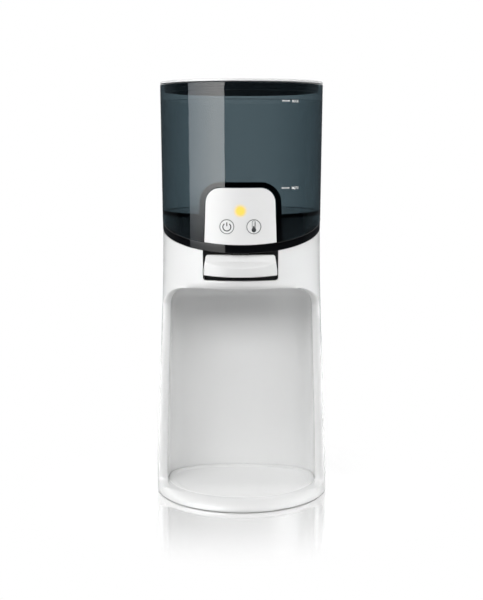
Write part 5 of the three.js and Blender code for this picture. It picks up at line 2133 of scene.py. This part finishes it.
@dataclass(frozen=True)
class Studio:
    """The floor, the lights, the cards, the white surround and the camera, all in metres."""

    camera_distance: float = 0.9918
    camera_height: float = 0.3180
    turn_degrees: float = 0.8
    pitch_degrees: float = 8.3356
    lens: float = 66.86
    sensor: float = 36.0
    ambient: float = 0.03
    floor_half_width: float = 6.0
    floor_roughness: float = 0.05
    floor_mirror: float = 0.75
    floor_lift: float = 0.06
    floor_white: Point = (0.08, 0.2)
    floor_lit: Colour = (0.45, 0.45, 0.45)
    floor_seen: Colour = (0.97, 0.97, 0.97)
    card_near: float = 0.8
    card_far: float = 3.0
    card_height: float = 0.51
    card_thickness: float = 0.0004
    card_turn: float = 165.0
    card_steps: int = 44
    card_roughness: float = 0.9
    card_fade: Point = (0.3, 1.1)
    card_front: Colour = (0.03, 0.037, 0.06)
    card_back: Colour = (0.36, 0.40, 0.44)
    reflector_left: Point = (-1.26, -0.31)
    reflector_right: Point = (-0.49, -1.2)
    reflector_foot: float = -0.01
    reflector_height: float = 1.8
    reflector_fade: Point = (-1.26, -0.7)
    reflector_edge: Colour = (0.52, 0.56, 0.60)
    reflector_core: Colour = (1, 1, 0.99)
    reflector_climb: Point = (0.115, 0.21)
    reflector_strength: Point = (1.8, 5.2)

    def build(self) -> None:
        """Sets up all that is not the object."""
        bpy.context.scene.view_settings.view_transform = "Standard"
        self.camera()
        self.floor()
        self.surround()
        self.dark_card()
        self.bright_reflector()
        for lamp in LAMPS:
            lamp.hang()

    def camera(self) -> None:
        """Places the camera at the photograph's viewing angle."""
        data = bpy.data.cameras.new("view")
        data.lens = self.lens
        data.sensor_fit = "VERTICAL"
        data.sensor_height = self.sensor
        camera = bpy.data.objects.new("view", data)
        turn, distance = math.radians(self.turn_degrees), self.camera_distance
        camera.location = (
            distance * math.sin(turn), -distance * math.cos(turn), self.camera_height,
        )
        camera.rotation_euler = (math.radians(90 - self.pitch_degrees), 0, turn)
        bpy.context.scene.collection.objects.link(camera)
        bpy.context.scene.camera = camera

    def staged(self, name: str, mesh: Mesh, material: bpy.types.Material) -> bpy.types.Object:
        """Puts a mesh in metres on the stage.

        Args:
            name: Its name.
            mesh: The mesh. It is used up.
            material: Its material.

        Returns:
            The staged object.
        """
        data = bpy.data.meshes.new(name)
        mesh.to_mesh(data)
        mesh.free()
        data.materials.append(material)
        piece = bpy.data.objects.new(name, data)
        bpy.context.scene.collection.objects.link(piece)
        return piece

    def seen(self, tree: Tree) -> Socket:
        """Tells what the eye sees, straight, in gloss or through glass, from what only lights.

        Args:
            tree: The tree that asks.

        Returns:
            A value of 1 for a seen ray and 0 for any other.
        """
        path = tree.node("ShaderNodeLightPath").outputs
        glossy = tree.maths("MAXIMUM", path["Is Camera Ray"], path["Is Glossy Ray"])
        return tree.maths("MAXIMUM", glossy, path["Is Transmission Ray"])

    def floor(self) -> None:
        """Lays the floor: white to the eye, but for the object's shadow and reflection close by."""
        graph = Graph("pale_floor")
        seen = self.seen(graph)
        camera = graph.node("ShaderNodeLightPath").outputs["Is Camera Ray"]
        graph.shade(
            Base_Color=graph.between(camera, self.floor_lit, self.floor_seen),
            Metallic=graph.maths("MULTIPLY", camera, self.floor_mirror),
            Roughness=self.floor_roughness,
            Emission_Color=PURE_WHITE,
            Emission_Strength=graph.maths("MULTIPLY", seen, self.floor_lift),
        )
        far = graph.ranged(graph.length(graph.place), self.floor_white, curve="SMOOTHSTEP")
        glow = graph.node("ShaderNodeEmission", {"Color": PURE_WHITE})
        graph.show(
            "Material Output", graph.maths("MULTIPLY", seen, far), graph.shader.outputs["BSDF"],
            glow.outputs["Emission"],
        )
        mesh = bmesh.new()
        bmesh.ops.create_grid(mesh, x_segments=1, y_segments=1, size=self.floor_half_width)
        self.staged("floor", mesh, graph.material)

    def dark_card(self) -> None:
        """Lays a dark ring with a low wall before the object, for its gloss alone."""
        graph = Graph("dark_card")
        depth = graph.node("ShaderNodeSeparateXYZ", {"Vector": graph.place}).outputs["Y"]
        side = graph.ranged(depth, self.card_fade)
        graph.shade(
            Base_Color=graph.between(side, self.card_front, self.card_back),
            Roughness=self.card_roughness,
        )
        mesh = bmesh.new()
        near, half, step = self.card_near, self.card_steps // 2, 2 / self.card_steps
        turns = [math.radians(self.card_turn) * i * step for i in range(-half, half + 1)]
        inner = [
            mesh.verts.new((near * math.sin(turn), -near * math.cos(turn), self.card_thickness))
            for turn in turns
        ]
        for start, end in zip(inner, inner[1:]):
            bmesh.ops.contextual_create(mesh, geom=[start, end])
        edges = mesh.edges[:]
        for stretch, lift in ((self.card_far / near, 0.0), (1.0, self.card_height)):
            grown = bmesh.ops.extrude_edge_only(mesh, edges=edges)["geom"]
            verts = vertices_in(grown)
            edges = [
                item for item in grown if isinstance(item, bmesh.types.BMEdge)
                and all(vertex in verts for vertex in item.verts)
            ]
            bmesh.ops.scale(mesh, vec=(stretch, stretch, 1), verts=verts)
            bmesh.ops.translate(mesh, vec=(0, 0, lift), verts=verts)
        self.gloss_only(self.staged("dark_card", mesh, graph.material))

    def bright_reflector(self) -> None:
        """Stands a bright reflector at the front left, for the object's gloss alone."""
        graph = Graph("bright_reflector")
        place = graph.node("ShaderNodeSeparateXYZ", {"Vector": graph.place}).outputs
        fade = graph.ranged(place["X"], self.reflector_fade)
        strength = graph.ranged(place["Z"], self.reflector_climb, self.reflector_strength)
        graph.shade(
            Base_Color=(0, 0, 0, 1),
            Roughness=1.0,
            Emission_Color=graph.between(fade, self.reflector_edge, self.reflector_core),
            Emission_Strength=strength,
        )
        mesh = bmesh.new()
        ends = [
            mesh.verts.new((*end, self.reflector_foot))
            for end in (self.reflector_left, self.reflector_right)
        ]
        edge = bmesh.ops.contextual_create(mesh, geom=ends)["edges"]
        grown = bmesh.ops.extrude_edge_only(mesh, edges=edge)["geom"]
        bmesh.ops.translate(mesh, vec=(0, 0, self.reflector_height), verts=vertices_in(grown))
        self.gloss_only(self.staged("bright_reflector", mesh, graph.material))

    def gloss_only(self, card: bpy.types.Object) -> None:
        """Lets a card show in reflections alone."""
        for rays in ("camera", "diffuse", "transmission", "shadow"):
            setattr(card, f"visible_{rays}", False)

    def surround(self) -> None:
        """Makes the surround: white to the eye, in gloss and through glass, dim as a light."""
        world = bpy.data.worlds.new("surround")
        world.use_nodes = True
        bpy.context.scene.world = world
        tree = Tree(world.node_tree)
        bright = tree.nodes["Background"]
        tree.feed(bright, {"Color": PURE_WHITE, "Strength": 1.0})
        dim = tree.node("ShaderNodeBackground", {"Color": PURE_WHITE, "Strength": self.ambient})
        shaders = (node.outputs["Background"] for node in (dim, bright))
        tree.show("World Output", self.seen(tree), *shaders)


INNER_FINISHES = (
    (BLACK, (
        "base_plate", "deck_socket", "panel_tower", "power_switch", "temperature_switch",
        "power_inlet",
    )),
    (SILICONE, ("socket_seal", "inlet_hose", "outlet_hose", "valve_plunger", "tank_poppet")),
    (ALUMINIUM, ("heater_block",)),
    (STEEL, ("thermistor", "lever_pin", "poppet_spring")),
    (CERAMIC, ("thermal_fuse",)),
    (GREY, ("valve_body", "valve_cap", "lever_bracket")),
    (BOARD, ("control_board", "power_board")),
    (LED, ("status_led",)),
)


def main() -> None:
    """Builds the object and its studio."""
    logging.basicConfig(level=logging.INFO, format="%(message)s")
    shop = Workshop()
    Studio().build()
    for part in (Housing(), Tray(), Deck(), Panel(), Tank(), Lid(), Lever(), Valve(), Underside()):
        part.build(shop)
    for finish, nodes in INNER_FINISHES:
        shop.dress(finish, *nodes)


if __name__ == "__main__":
    main()
